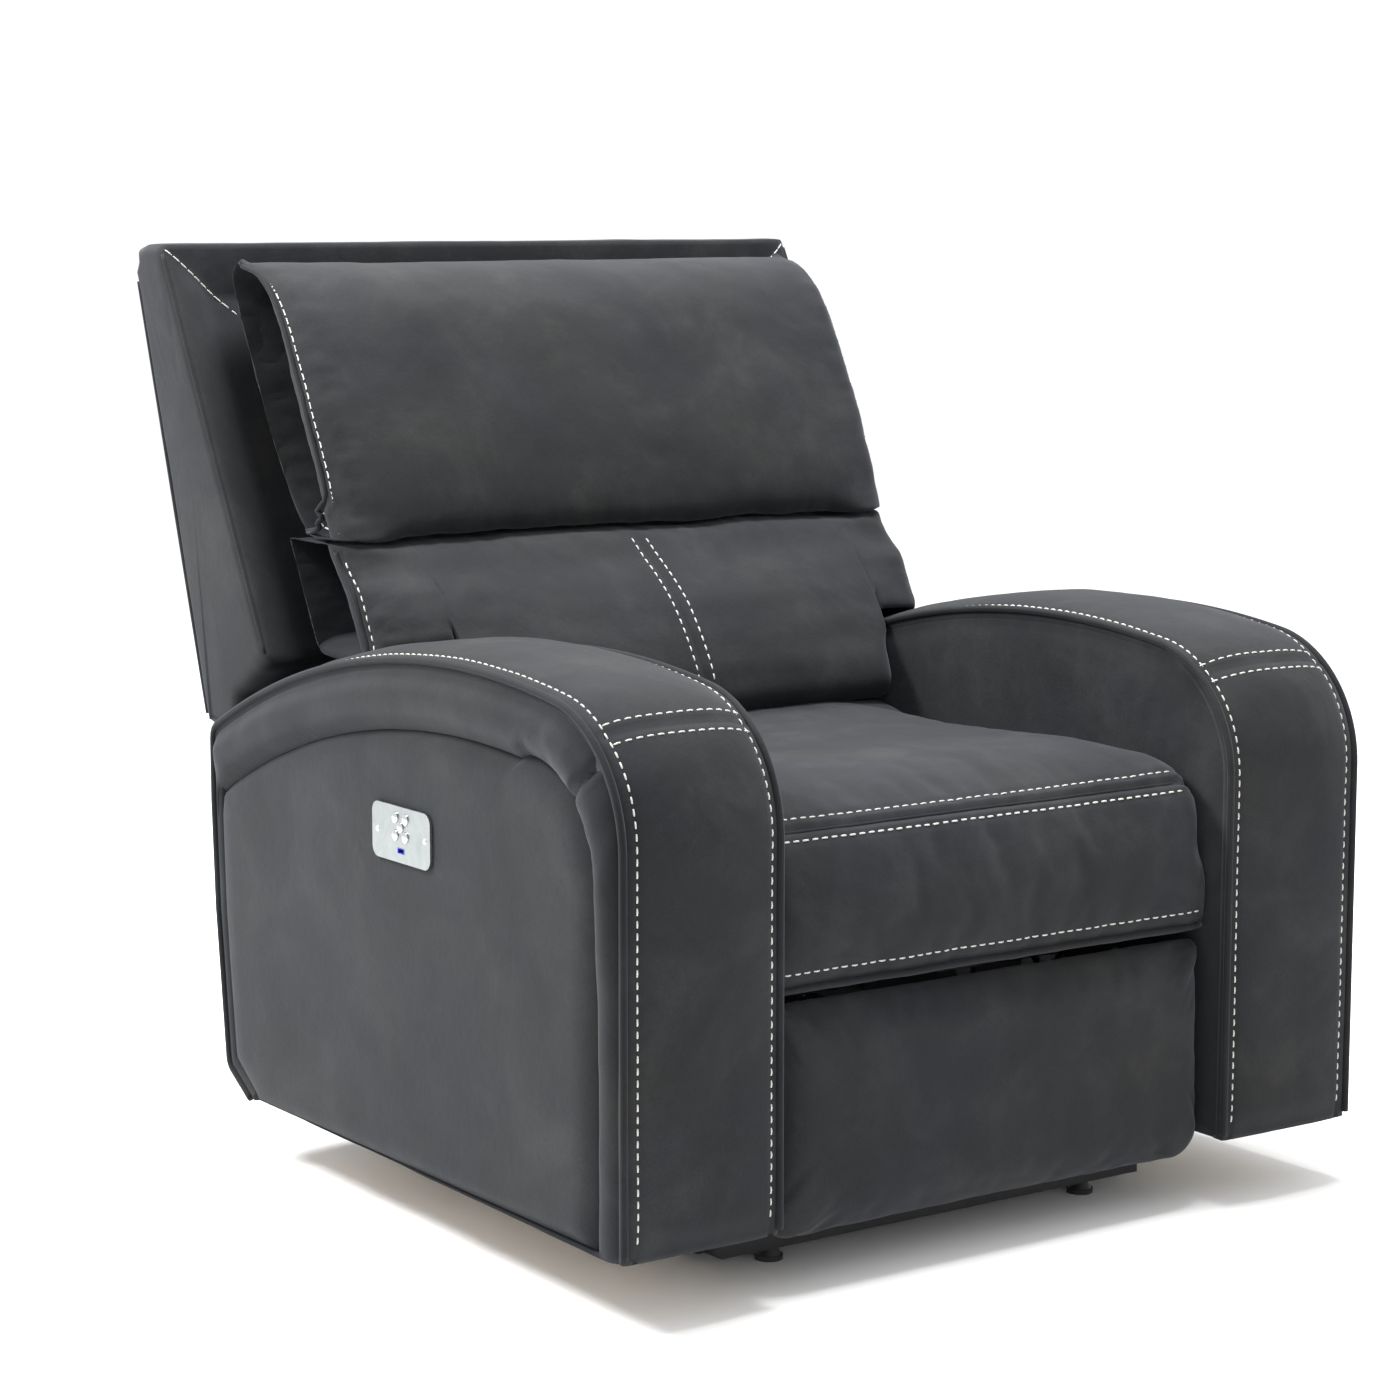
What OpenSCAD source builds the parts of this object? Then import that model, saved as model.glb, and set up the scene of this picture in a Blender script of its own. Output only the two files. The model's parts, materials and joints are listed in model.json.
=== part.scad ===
// Power recliner armchair: fixed arms on a steel base, with a seat, back,
// headrest and footrest that move between them. Millimetres, +Z up,
// the chair faces -Y, the floor is z = 0 and x = 0 is its middle.

/* [Overall] */
// width over both arms
overall_w = 990; // [900:5:1080]
// height of the upholstered back
overall_h = 1050; // [980:5:1120]
// width of one arm
arm_w = 196; // [160:2:220]
// height of the arm at its highest welt
arm_h = 630; // [600:5:660]
// height of the arm's lower edge above the floor
arm_lift = 75; // [60:1:90]
// how far the arm front stands before the middle
arm_front = 551; // [540:1:560]
// how far the arm rear stands behind the middle
arm_rear = 296; // [280:1:305]
// height of the seat surface
seat_h = 507; // [495:1:515]

/* [Fits] */
// radius of the link rivets
rivet_r = 5; // [4:0.5:6]
// running clearance of every turning bore
run_gap = 0.05; // [0.02:0.01:0.09]
// gap between neighbouring upholstered pieces
soft_gap = 0.4; // [0.3:0.1:1]
// thickness of the steel link straps
strap_t = 5; // [4:0.5:5.5]
// gap between link layers
layer_gap = 1.5; // [1:0.5:2]

/* [Back] */
// lean of the back frame from upright, degrees
back_lean = 28; // [24:1:30]
// width of the back cushion
pad_w = 800; // [760:2:820]
// how far each wing shows beside the back cushion
wing_w = 58; // [45:1:65]
// depth of the back behind its lean line, at the top
back_depth = 41; // [36:1:60]

/* [Control] */
// width of the control plate
plate_w = 120; // [110:1:130]
// height of the control plate
plate_h = 60; // [56:1:66]
// radius of a control button
button_r = 5.6; // [5:0.1:5.9]

/* [Hidden] */
half = overall_w / 2;
arm_in = half - arm_w;
pitch = strap_t + layer_gap;
// inner face of each link layer, counted outwards from the middle
plate_x = arm_in - 55;
chain_a_x = plate_x - pitch;
chain_b_x = chain_a_x - pitch;
bracket_x = chain_b_x - pitch;
swing_x = plate_x + pitch;
base_x = swing_x + pitch;
// pivots: seat plate, swing links, back, headrest and footrest chain
swing_len = 120;
swing_rest = 5;
front_low = [-180, 92];
rear_low = [175, 92];
front_top = [front_low[0] + swing_len * sin(swing_rest), front_low[1] + swing_len * cos(swing_rest)];
rear_top = [rear_low[0] + swing_len * sin(swing_rest), rear_low[1] + swing_len * cos(swing_rest)];
back_pin = [150, 380];
lift_pin = [-330, 265];
head_w = 390;
head_d = -39.5;
head_pin = [back_pin[0] + head_d * cos(back_lean) + head_w * sin(back_lean),
    back_pin[1] - head_d * sin(back_lean) + head_w * cos(back_lean)];
rod_r = 5;
knee_a = [lift_pin[0] + 180 * sin(10), lift_pin[1] - 180 * cos(10)];
foot_a = [-455, 235];
stay_pin = [-295, 235];
knee_c = [-268, 98];
foot_c = [-460, 275];
tube_r = 11;
// arm side outline: a long crown arc running into a round front corner
crown_r = 1203;
crown_c = [-250, arm_h - crown_r];
nose_r = 140;
nose_y = -arm_front + nose_r;
nose_z = crown_c[1] + sqrt(pow(crown_r - nose_r, 2) - pow(nose_y - crown_c[0], 2));
crown_start = crown_c[0] + (nose_y - crown_c[0]) * crown_r / (crown_r - nose_r);
band_t = 26;
side_t = 15.5;
board_t = 14;
// back: width over the wings, foot of the rear cover, wing underside, crease and frame top
back_w = pad_w + 2 * wing_w;
rear_foot = arm_rear + 82;
wing_z = arm_h - 52;
wing_foot_z = arm_h - 138;
crease_z = 717;
frame_top = (overall_h - 33 - back_pin[1]) / cos(back_lean);
rail_h = 31.7;
head_motor_x = swing_x - 80;
// seat: underside of the cushion, its front and its round nose
seat_base = 352.6;
seat_front = 535;
seat_nose = min(85, 0.55 * (seat_h - seat_base));
// power inlet, from the middle
inlet_x = arm_in - 104;
foot_x = arm_in - 83;
// inset field of the arm's outer side: centre and radius of its front corner, drop below the crown
inset_r = 127;
inset_y = inset_r + 48 - arm_front;
inset_drop = 73;
// control plate centre on the left arm's outer face
ctl = [-143, 441];
screw_span = plate_w / 2 - 11;
box_wall = 2.5;
box_w = plate_w / 2 - 10;
box_h = plate_h / 2 - 3;
box_gap = 0.4;
collar_r = button_r + 1;
row_dx = button_r + 4.9;
row_dz = button_r + 3.9;
row_z = box_h - box_wall - box_gap - collar_r - row_dz;
usb_h = 6;
// height left over between the buttons, the socket and the box
spare_z = 2 * (box_h - box_wall - box_gap - collar_r - row_dz) - usb_h;
usb_z = row_z - row_dz - collar_r - box_gap / 2 - 0.59 * spare_z - usb_h / 2;

black = [0.06, 0.06, 0.065];
steel = [0.32, 0.33, 0.34];
ply = [0.72, 0.57, 0.38];
suede = [0.2, 0.21, 0.23];
silver = [0.72, 0.73, 0.74];

// ---------- helpers ----------

// turns a side outline drawn as (y, z) into a slab from x0 to x1
module slab(x0, x1) {
    translate([x0, 0, 0])
        rotate([90, 0, 90])
            linear_extrude(height = x1 - x0)
                children();
}

// the same slab on both sides of the chair
module pair_slab(x0, x1) {
    slab(x0, x1) children();
    slab(-x1, -x0) children();
}

module box(a, b) {
    translate(a)
        cube([b[0] - a[0], b[1] - a[1], b[2] - a[2]]);
}

module pair_box(a, b) {
    box(a, b);
    box([-b[0], a[1], a[2]], [-a[0], b[1], b[2]]);
}

// round bar along x, centred on a side point
module rod_x(p, r, x0, x1) {
    translate([x0, p[0], p[1]])
        rotate([0, 90, 0])
            cylinder(r = r, h = x1 - x0, $fn = 48);
}

// straight flat link between two side points, with eyes a little wider than its strap
module strap_2d(p, q, w) {
    len = norm(q - p);
    turn = atan2(q[1] - p[1], q[0] - p[0]);
    translate(p) {
        circle(r = w, $fn = 48);
        rotate(turn) {
            translate([0, 1 - w])
                square([len, 2 * w - 2]);
            translate([len, 0])
                circle(r = w, $fn = 48);
        }
    }
}

// one link layer on both sides: bored at hole ends, with a rivet at pin ends
module link_pair(x0, p, q, holes, w = 13) {
    pair_slab(x0, x0 + strap_t)
        difference() {
            strap_2d(p, q, w);
            for (h = holes)
                translate(h)
                    circle(r = rivet_r + run_gap, $fn = 48);
        }
}

// rivet fixed in one layer and reaching into a neighbouring one, both sides
module rivet_pair(p, x0, x1, r = rivet_r) {
    rod_x(p, r, x0, x1);
    rod_x(p, r, -x1, -x0);
}

// moves its children into the back frame: x across, y to the rear, z along the lean
module lean_frame() {
    translate([0, back_pin[0], back_pin[1]])
        rotate([-back_lean, 0, 0])
            children();
}

// y of the lean line at height z, set off to the rear by d
function lean_at(z, d) = back_pin[0] + (z - back_pin[1]) * tan(back_lean) + d / cos(back_lean);

// everything ahead of the arm's rear edge, stepped in by i, above height z
module rear_edge(i, z) {
    far = arm_front + arm_rear;
    polygon([[-far, z], [arm_rear - 81 - i / 2, z], [arm_rear - 26 - i, arm_lift + 33],
        [arm_rear - 6 - i, arm_lift + 215], [arm_rear - i, arm_lift + 340], [arm_rear - i, far], [-far, far]]);
}

// arm outline, stepped in by i all round
module arm_outline(i, low = 0) {
    intersection() {
        union() {
            translate([nose_y, nose_z])
                circle(r = nose_r - i, $fn = 96);
            translate([-arm_front + i, arm_lift + low])
                square([nose_r - i, nose_z - arm_lift - low]);
            intersection() {
                translate(crown_c)
                    circle(r = crown_r - i, $fn = 360);
                translate([crown_start, arm_lift + low])
                    square([arm_rear - crown_start, arm_h]);
            }
            translate([nose_y, arm_lift + low])
                square([arm_rear - nose_y, nose_z - 120 - arm_lift]);
        }
        rear_edge(i, arm_lift + low);
    }
}

// flat inset field of the arm's outer side
module inset_outline(g) {
    intersection() {
        union() {
            translate([inset_y - g, arm_lift])
                square([arm_front + arm_rear, arm_h - inset_drop - arm_lift + g]);
            translate([inset_y - inset_r - g, arm_lift])
                square([400, arm_h - inset_drop - inset_r - arm_lift]);
            translate([inset_y, arm_h - inset_drop - inset_r])
                circle(r = inset_r + g, $fn = 72);
        }
        translate([crown_c[0], arm_h - inset_drop - 1160])
            circle(r = 1160 + g, $fn = 360);
        rear_edge(8, arm_lift);
    }
}

module ctl_hole(g) {
    translate(ctl)
        square([2 * (box_w + g), 2 * (box_h + g)], center = true);
}

// ---------- base ----------

module base_side_rails() {
    color(black)
        pair_box([arm_in - 36, -400, 15], [arm_in - 11, 252, 45]);
}

module base_end_rails() {
    color(black)
        for (y = [-430.3, 252.3])
            box([-arm_in + 11, y, 15], [arm_in - 11, y + 30, 45]);
}

module feet() {
    color(black)
        for (y = [-415, 267])
            for (x = [-foot_x, foot_x])
                translate([x, y, 0]) {
                    cylinder(r = 15, h = 5, $fn = 48);
                    translate([0, 0, 5])
                        cylinder(r1 = 13, r2 = 8, h = 10, $fn = 48);
                }
}

module base_cross_plates() {
    color(black)
        for (y = [-240, 60])
            box([-arm_in + 11, y, 45.2], [arm_in - 11, y + 120, 48.2]);
}

module base_link_plates() {
    color(steel)
        pair_slab(base_x, base_x + strap_t)
            difference() {
                union() {
                    for (p = [front_low, rear_low])
                        strap_2d(p, [p[0], 66], 16);
                    translate([-224, 50])
                        square([436, 22]);
                }
                translate(front_low)
                    circle(r = tube_r + run_gap, $fn = 48);
                translate(rear_low)
                    circle(r = rivet_r + run_gap, $fn = 48);
                translate([-700, 0])
                    square([1400, 48.2]);
            }
}

module arm_brackets() {
    color(black)
        for (y = [-400, 190]) {
            pair_box([arm_in - 5, y, 15], [arm_in - soft_gap, y + 70, 150]);
            pair_box([arm_in - 11, y, 15], [arm_in - 5, y + 70, 45]);
        }
}

module bracket_bolts() {
    color(silver)
        for (y = [-382, -348, 208, 242])
            for (z = [95, 132]) {
                rod_x([y, z], 6, arm_in - 9, arm_in - 5);
                rod_x([y, z], 6, -arm_in + 5, -arm_in + 9);
            }
}

module rear_skirt() {
    color(black)
        difference() {
            box([-arm_in + 6, 282.6, 30], [arm_in - 6, 290, 195]);
            translate([inlet_x - 15, 270, 90])
                cube([30, 40, 24]);
        }
}

module power_supply() {
    color(black)
        box([inlet_x - 155, 70, 48.4], [inlet_x - 25, 170, 84]);
}

module power_inlet() {
    color(black)
        difference() {
            union() {
                box([inlet_x - 14.7, 268, 90.3], [inlet_x + 14.7, 290.2, 113.7]);
                box([inlet_x - 19, 290.2, 86], [inlet_x + 19, 293, 118]);
            }
            translate([inlet_x, 300, 102])
                rotate([90, 0, 0])
                    cylinder(r = 6, h = 24, $fn = 48);
        }
}

// ---------- arms ----------

module arm_frame(side) {
    color(ply)
        difference() {
            slab(side > 0 ? arm_in + 9 : -half + side_t + 0.3, side > 0 ? half - side_t - 0.3 : -arm_in - 9)
                arm_outline(band_t + 0.3, 1);
            slab(side > 0 ? arm_in + 9 + board_t : -half + side_t + board_t,
                side > 0 ? half - side_t - board_t : -arm_in - 9 - board_t)
                arm_outline(band_t + board_t + 2, board_t + 1);
            translate([side * (arm_in + arm_w / 2), 0, 0])
                cylinder(r = 30, h = 200, $fn = 48);
            if (side < 0)
                slab(-half, -half + 60)
                    ctl_hole(2);
        }
}

module arm_frame_left() {
    arm_frame(-1);
}

module arm_frame_right() {
    arm_frame(1);
}

module arm_band(side) {
    color(suede)
        slab(side > 0 ? arm_in + 4 : -half + 4, side > 0 ? half - 4 : -arm_in - 4)
            difference() {
                arm_outline(0);
                arm_outline(band_t, -5);
            }
}

module arm_band_left() {
    arm_band(-1);
}

module arm_band_right() {
    arm_band(1);
}

module arm_outer_panel(side) {
    color(suede)
        difference() {
            union() {
                slab(side > 0 ? half - side_t : -half + 5, side > 0 ? half - 5 : -half + side_t)
                    arm_outline(band_t + 0.3, 1);
                slab(side > 0 ? half - side_t : -half, side > 0 ? half : -half + side_t)
                    intersection() {
                        inset_outline(0);
                        arm_outline(band_t + 0.6, 1);
                    }
            }
            if (side < 0)
                slab(-half - 1, -half + side_t + 1)
                    ctl_hole(1);
        }
}

module arm_outer_panel_left() {
    arm_outer_panel(-1);
}

module arm_outer_panel_right() {
    arm_outer_panel(1);
}

module arm_inner_panel(side) {
    color(suede)
        slab(side > 0 ? arm_in : -arm_in - 8.7, side > 0 ? arm_in + 8.7 : -arm_in)
            arm_outline(band_t + 0.3, 1);
}

module arm_inner_panel_left() {
    arm_inner_panel(-1);
}

module arm_inner_panel_right() {
    arm_inner_panel(1);
}

// ---------- control on the left arm ----------

// places a drawing of the plate face at the control, z out of the arm
module on_plate() {
    translate([-half, ctl[0], ctl[1]])
        rotate([90, 0, -90])
            children();
}

buttons = [[row_dx, row_z + row_dz], [-row_dx, row_z + row_dz], [0, row_z],
    [row_dx, row_z - row_dz], [-row_dx, row_z - row_dz]];

module control_plate() {
    color(silver)
        on_plate()
            difference() {
                linear_extrude(height = 3)
                    union() {
                        for (sx = [-1, 1])
                            for (sy = [-1, 1])
                                translate([sx * (plate_w / 2 - 12), sy * (plate_h / 2 - 12)])
                                    circle(r = 12, $fn = 48);
                        square([plate_w - 24, plate_h], center = true);
                        square([plate_w, plate_h - 24], center = true);
                    }
                for (b = buttons)
                    translate([b[0], b[1], -1])
                        cylinder(r = button_r + 0.3, h = 5, $fn = 48);
                for (sx = [-1, 1])
                    translate([sx * screw_span, 0, -1])
                        cylinder(r = 2.05, h = 5, $fn = 32);
                translate([-7.2, usb_z - usb_h / 2 - 0.2, -1])
                    cube([14.4, usb_h + 0.4, 5]);
            }
}

module control_housing() {
    color(black)
        on_plate()
            difference() {
                translate([-box_w, -box_h, -34])
                    cube([2 * box_w, 2 * box_h, 33.8]);
                translate([box_wall - box_w, box_wall - box_h, -31.5])
                    cube([2 * (box_w - box_wall), 2 * (box_h - box_wall), 32]);
            }
}

module control_board() {
    color([0.08, 0.3, 0.16])
        on_plate() {
            translate([6 - box_w, row_z - row_dz - 4.5, -12])
                cube([2 * (box_w - 6), 2 * row_dz + 8, 1.6]);
            for (b = buttons)
                translate([b[0], b[1], -10.4])
                    cylinder(r = 2.6, h = 2.2, $fn = 32);
        }
}

module plate_screws() {
    color(silver)
        on_plate()
            for (sx = [-1, 1])
                translate([sx * screw_span, 0, 0]) {
                    cylinder(r = 2, h = 3, $fn = 32);
                    translate([0, 0, 3])
                        cylinder(r1 = 3.2, r2 = 2.4, h = 0.8, $fn = 32);
                }
}

module usb_port() {
    color([0.08, 0.12, 0.55])
        on_plate()
            difference() {
                translate([-7, usb_z - usb_h / 2, -16])
                    cube([14, usb_h, 19.2]);
                translate([-6, usb_z - usb_h / 2 + 0.8, -13])
                    cube([12, usb_h - 1.6, 20]);
            }
}

// domed cap over a collared stem, held behind the plate
module button(k) {
    color(silver)
        on_plate()
            translate([buttons[k][0], buttons[k][1], 0]) {
                rotate_extrude($fn = 48)
                    intersection() {
                        translate([0, -8.3])
                            circle(r = 14, $fn = 96);
                        translate([0, -1])
                            square([button_r, 8]);
                    }
                translate([0, 0, -1.05])
                    cylinder(r = collar_r, h = 1, $fn = 48);
                translate([0, 0, -7])
                    cylinder(r = 2.2, h = 6.5, $fn = 32);
            }
}

module button_upper_front() {
    button(0);
}

module button_upper_rear() {
    button(1);
}

module button_centre() {
    button(2);
}

module button_lower_front() {
    button(3);
}

module button_lower_rear() {
    button(4);
}

// ---------- recline drive and swing links ----------

module recline_motor() {
    color(black) {
        difference() {
            box([-60, -215, 48.6], [60, -145, 125]);
            rod_x(front_low, tube_r + run_gap, -70, 70);
        }
        translate([0, -145.5, 88])
            rotate([-90, 0, 0])
                cylinder(r = 28, h = 90, $fn = 48);
    }
}

module recline_shaft() {
    color(steel)
        rod_x(front_low, tube_r, -base_x - strap_t - 3, base_x + strap_t + 3);
}

module front_swing_links() {
    color(steel)
        pair_slab(swing_x, swing_x + strap_t)
            difference() {
                union() {
                    strap_2d(front_low, front_top, 11);
                    translate(front_low)
                        circle(r = tube_r + 7, $fn = 48);
                }
                translate(front_low)
                    circle(r = tube_r, $fn = 48);
                translate(front_top)
                    circle(r = rivet_r + run_gap, $fn = 48);
            }
}

module rear_swing_links() {
    color(steel) {
        link_pair(swing_x, rear_low, rear_top, [rear_top], 11);
        rivet_pair(rear_low, swing_x + 1, base_x + strap_t + 2);
    }
}

// ---------- seat ----------

module seat_side_plates() {
    color(steel) {
        pair_slab(plate_x, plate_x + strap_t)
            difference() {
                union() {
                    translate([-352, 242])
                        square([590, 76]);
                    strap_2d(front_top, [front_top[0], 270], 16);
                    strap_2d(rear_top, [rear_top[0], 270], 16);
                    strap_2d(stay_pin, [stay_pin[0], 270], 15);
                    strap_2d(back_pin, [back_pin[0], 290], 20);
                }
                translate(lift_pin)
                    circle(r = tube_r + run_gap, $fn = 48);
            }
        for (p = [front_top, rear_top, back_pin])
            rivet_pair(p, plate_x + 1, swing_x + strap_t);
        rivet_pair(stay_pin, chain_a_x, plate_x + 1);
    }
}

module seat_cross_bar() {
    color(steel)
        box([-plate_x, -290, 300.3], [plate_x, -250, 318]);
}

module seat_frame_rails() {
    color(ply)
        pair_box([plate_x - 6, -480, 318.3], [arm_in - 12, 60, 350]);
}

module seat_end_rails() {
    color(ply)
        for (y = [-504.7, 60.3])
            box([-arm_in + 12, y, 318.3], [arm_in - 12, y + 24.4, 350]);
}

module seat_webbing() {
    color(black)
        for (k = [-2:2])
            box([k * 90 - 28, -504, 350.2], [k * 90 + 28, 84, 352.2]);
}

module seat_cushion() {
    mid_z = seat_h - seat_nose;
    color(suede)
        slab(-arm_in + soft_gap, arm_in - soft_gap)
            difference() {
                union() {
                    translate([seat_nose - seat_front, mid_z])
                        circle(r = seat_nose, $fn = 96);
                    translate([seat_nose - seat_front, seat_base])
                        square([510, seat_h - seat_base]);
                    polygon([[-seat_front, mid_z], [-seat_front, 325], [11 - seat_front, 310], [-505.1, 300],
                        [-505.1, seat_base], [seat_nose - seat_front, seat_base], [seat_nose - seat_front, mid_z]]);
                }
                translate([-505.1, 200])
                    square([1000, seat_base - 200]);
            }
}

// ---------- footrest drive and links ----------

module footrest_motor() {
    color(black) {
        difference() {
            box([-50, -362, 236], [50, -240, 300]);
            rod_x(lift_pin, tube_r + run_gap, -60, 60);
        }
        translate([0, -240.5, 268])
            rotate([-90, 0, 0])
                cylinder(r = 26, h = 90, $fn = 48);
    }
}

module lift_shaft() {
    color(steel)
        rod_x(lift_pin, tube_r, -plate_x - strap_t - 1, plate_x + strap_t + 1);
}

module lift_links() {
    color(steel)
        pair_slab(chain_a_x, chain_a_x + strap_t)
            difference() {
                union() {
                    strap_2d(lift_pin, knee_a, 11);
                    translate(lift_pin)
                        circle(r = tube_r + 6.5, $fn = 48);
                }
                translate(lift_pin)
                    circle(r = tube_r, $fn = 48);
                translate(knee_a)
                    circle(r = rivet_r + run_gap, $fn = 48);
            }
}

module knee_links() {
    color(steel) {
        link_pair(chain_b_x, knee_a, foot_a, [], 11);
        rivet_pair(knee_a, chain_b_x + 1, chain_a_x + strap_t);
        rivet_pair(foot_a, bracket_x, chain_b_x + 1);
    }
}

module stay_links() {
    color(steel)
        link_pair(chain_a_x, stay_pin, knee_c, [stay_pin, knee_c], 11);
}

module reach_links() {
    color(steel) {
        link_pair(chain_b_x, knee_c, foot_c, [], 11);
        rivet_pair(knee_c, chain_b_x + 1, chain_a_x + strap_t);
        rivet_pair(foot_c, bracket_x, chain_b_x + 1);
    }
}

module footrest_brackets() {
    color(steel) {
        pair_slab(bracket_x, bracket_x + strap_t)
            difference() {
                union() {
                    translate([-489.7, 130])
                        square([30, 156]);
                    strap_2d(foot_a, [-476, foot_a[1]], 13);
                    strap_2d(foot_c, [-476, foot_c[1]], 12);
                }
                translate(foot_a)
                    circle(r = rivet_r + run_gap, $fn = 48);
                translate(foot_c)
                    circle(r = rivet_r + 0.6, $fn = 48);
            }
        pair_box([bracket_x - 26, -489.7, 130], [bracket_x + 1, -486.2, 286]);
    }
}

module footrest_board() {
    color(ply)
        box([-arm_in + 12, -504.7, 60], [arm_in - 12, -490, 284]);
}

module footrest_cushion() {
    color(suede)
        slab(-arm_in + 3, arm_in - 3)
            union() {
                translate([-520, 66])
                    circle(r = 14, $fn = 48);
                translate([-520, 276])
                    circle(r = 12, $fn = 48);
                translate([-534, 66])
                    square([29, 205]);
                translate([-532, 200])
                    square([27, 76]);
                translate([-520, 52])
                    square([15, 236]);
            }
}

// ---------- back ----------

module back_brackets() {
    color(steel)
        lean_frame()
            pair_slab(swing_x, swing_x + strap_t)
                difference() {
                    union() {
                        circle(r = 20, $fn = 48);
                        translate([-20, 0])
                            square([38, 170]);
                    }
                    circle(r = rivet_r + run_gap, $fn = 48);
                }
}

module back_posts() {
    color(ply)
        lean_frame()
            pair_box([swing_x + strap_t + 0.3, -25, 12], [arm_in - 9, 20, frame_top - rail_h - 0.3]);
}

module back_cross_rails() {
    color(ply)
        lean_frame() {
            box([-swing_x + 0.3, -25, 40], [swing_x - 0.3, 20, 80]);
            box([-swing_x - strap_t, -25, 330], [swing_x + strap_t, 20, 365]);
        }
}

module back_top_rail() {
    color(ply)
        lean_frame()
            box([-back_w / 2 + 14, 6, frame_top - rail_h], [back_w / 2 - 14, 20, frame_top]);
}

module back_wing_frames() {
    low = (wing_z - back_pin[1]) / cos(back_lean) + 20.8;
    color(ply)
        lean_frame() {
            pair_box([back_w / 2 - 28, 6, low - 5], [back_w / 2 - 14, 20, frame_top - rail_h - 0.3]);
            pair_box([arm_in - 8.7, 6, low], [back_w / 2 - 27, 20, low + 40]);
        }
}

module back_webbing() {
    color(black)
        lean_frame()
            for (k = [0:3])
                box([-arm_in + 12, -28, 95 + k * 62], [arm_in - 12, -25.3, 145 + k * 62]);
}

// y of the rear cover at height z
function rear_y(z) = rear_foot + (z - wing_foot_z) * (lean_at(overall_h, back_depth) - rear_foot)
    / (overall_h - wing_foot_z);

// side outline of the upholstered shell, stepped in by i
module shell_outline(i) {
    polygon([[lean_at(wing_z, -25.6) + i * 1.1, wing_z + i],
        [lean_at(overall_h - i, -25.6) + i * 1.1, overall_h - i],
        [rear_y(overall_h) - 32 - i / 2, overall_h - i],
        [rear_y(overall_h - 28) - 3 - i, overall_h - 28 - i / 2],
        [rear_foot - i, wing_foot_z + i], [arm_rear + 9 + i, wing_foot_z + i],
        [arm_rear + 4 + i, wing_foot_z + 38 + i]]);
}

module back_shell() {
    tail_top = wing_foot_z + 28;
    color(suede)
        difference() {
            union() {
                slab(-back_w / 2, back_w / 2)
                    shell_outline(0);
                slab(-arm_in + 4, arm_in - 4)
                    polygon([[rear_y(tail_top), tail_top], [rear_y(320), 320], [rear_y(320) - 12, 320],
                        [rear_y(tail_top) - 12, tail_top]]);
            }
            slab(-back_w / 2 + 12, back_w / 2 - 12)
                shell_outline(12);
            slab(-pad_w / 2 - 5, pad_w / 2 + 5)
                polygon([[100, 400], [100, overall_h - 12], [rear_y(overall_h - 12) - 32, overall_h - 12],
                    [rear_y(overall_h - 28) - 12 - 3, overall_h - 34], [rear_foot - 12, wing_foot_z],
                    [rear_y(400) - 12, 400]]);
        }
}

// side point at height z, set off from the lean line by d
function lean_pt(z, d) = [lean_at(z, d), z];

// front of the lumbar cushion: y, and share of its height
lumbar_front = [[8, 0], [-6, 0.071], [-4, 0.223], [20, 0.477], [66, 0.772], [110, 0.924], [140, 0.99], [165, 1]];

module lumbar_cushion() {
    low = seat_h + 9;
    rise = crease_z - 4 - low;
    step_z = arm_h - 14;
    color(suede)
        difference() {
            slab(-pad_w / 2 + 9, pad_w / 2 - 9)
                difference() {
                    polygon(concat([lean_pt(low, -28.6)],
                        [for (p = lumbar_front) [p[0], low + p[1] * rise]],
                        [lean_pt(low + rise, -28.6)]));
                    intersection() {
                        translate(head_pin)
                            circle(r = 132, $fn = 96);
                        translate(head_pin)
                            rotate(20.5)
                                translate([-300, -27])
                                    square([600, 400]);
                    }
                }
            // the lower part narrows to pass between the arms
            for (s = [-1, 1])
                translate([0, -50, 0])
                    rotate([90, 0, 180])
                        linear_extrude(height = 500)
                            polygon([[s * (arm_in - soft_gap), 300], [s * (arm_in - soft_gap), step_z],
                                [s * (pad_w / 2 - 34), step_z + 20], [s * (pad_w / 2 + 50), step_z + 28],
                                [s * (pad_w / 2 + 50), 300]]);
        }
}

// ---------- headrest ----------

module headrest_brackets() {
    color(steel)
        lean_frame()
            pair_slab(swing_x + 0.6, swing_x + strap_t)
                difference() {
                    translate([-48, head_w - 16])
                        square([60, 32]);
                    translate([head_d, head_w])
                        circle(r = rod_r + run_gap, $fn = 48);
                }
}

module headrest_motor() {
    color(black)
        lean_frame() {
            difference() {
                box([head_motor_x - 20, -46, 365.3], [head_motor_x + 20, 30, head_w + 25]);
                translate([head_motor_x - 70, head_d, head_w])
                    rotate([0, 90, 0])
                        cylinder(r = rod_r + run_gap, h = 120, $fn = 48);
            }
            translate([head_motor_x, 6, head_w + 24.5])
                cylinder(r = 20, h = 90, $fn = 48);
        }
}

module headrest_rod() {
    color(steel)
        lean_frame()
            translate([-swing_x - strap_t, head_d, head_w])
                rotate([0, 90, 0])
                    cylinder(r = rod_r, h = 2 * (swing_x + strap_t), $fn = 48);
}

module headrest_plate() {
    color(ply)
        lean_frame()
            difference() {
                box([10.5 - swing_x, -48, head_w - 10], [swing_x - 10.5, -31, frame_top - rail_h]);
                translate([-swing_x, head_d, head_w])
                    rotate([0, 90, 0])
                        cylinder(r = rod_r, h = 2 * swing_x, $fn = 48);
                box([head_motor_x - 24, -60, 300], [head_motor_x + 24, 0, head_w + 44]);
            }
}

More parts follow.
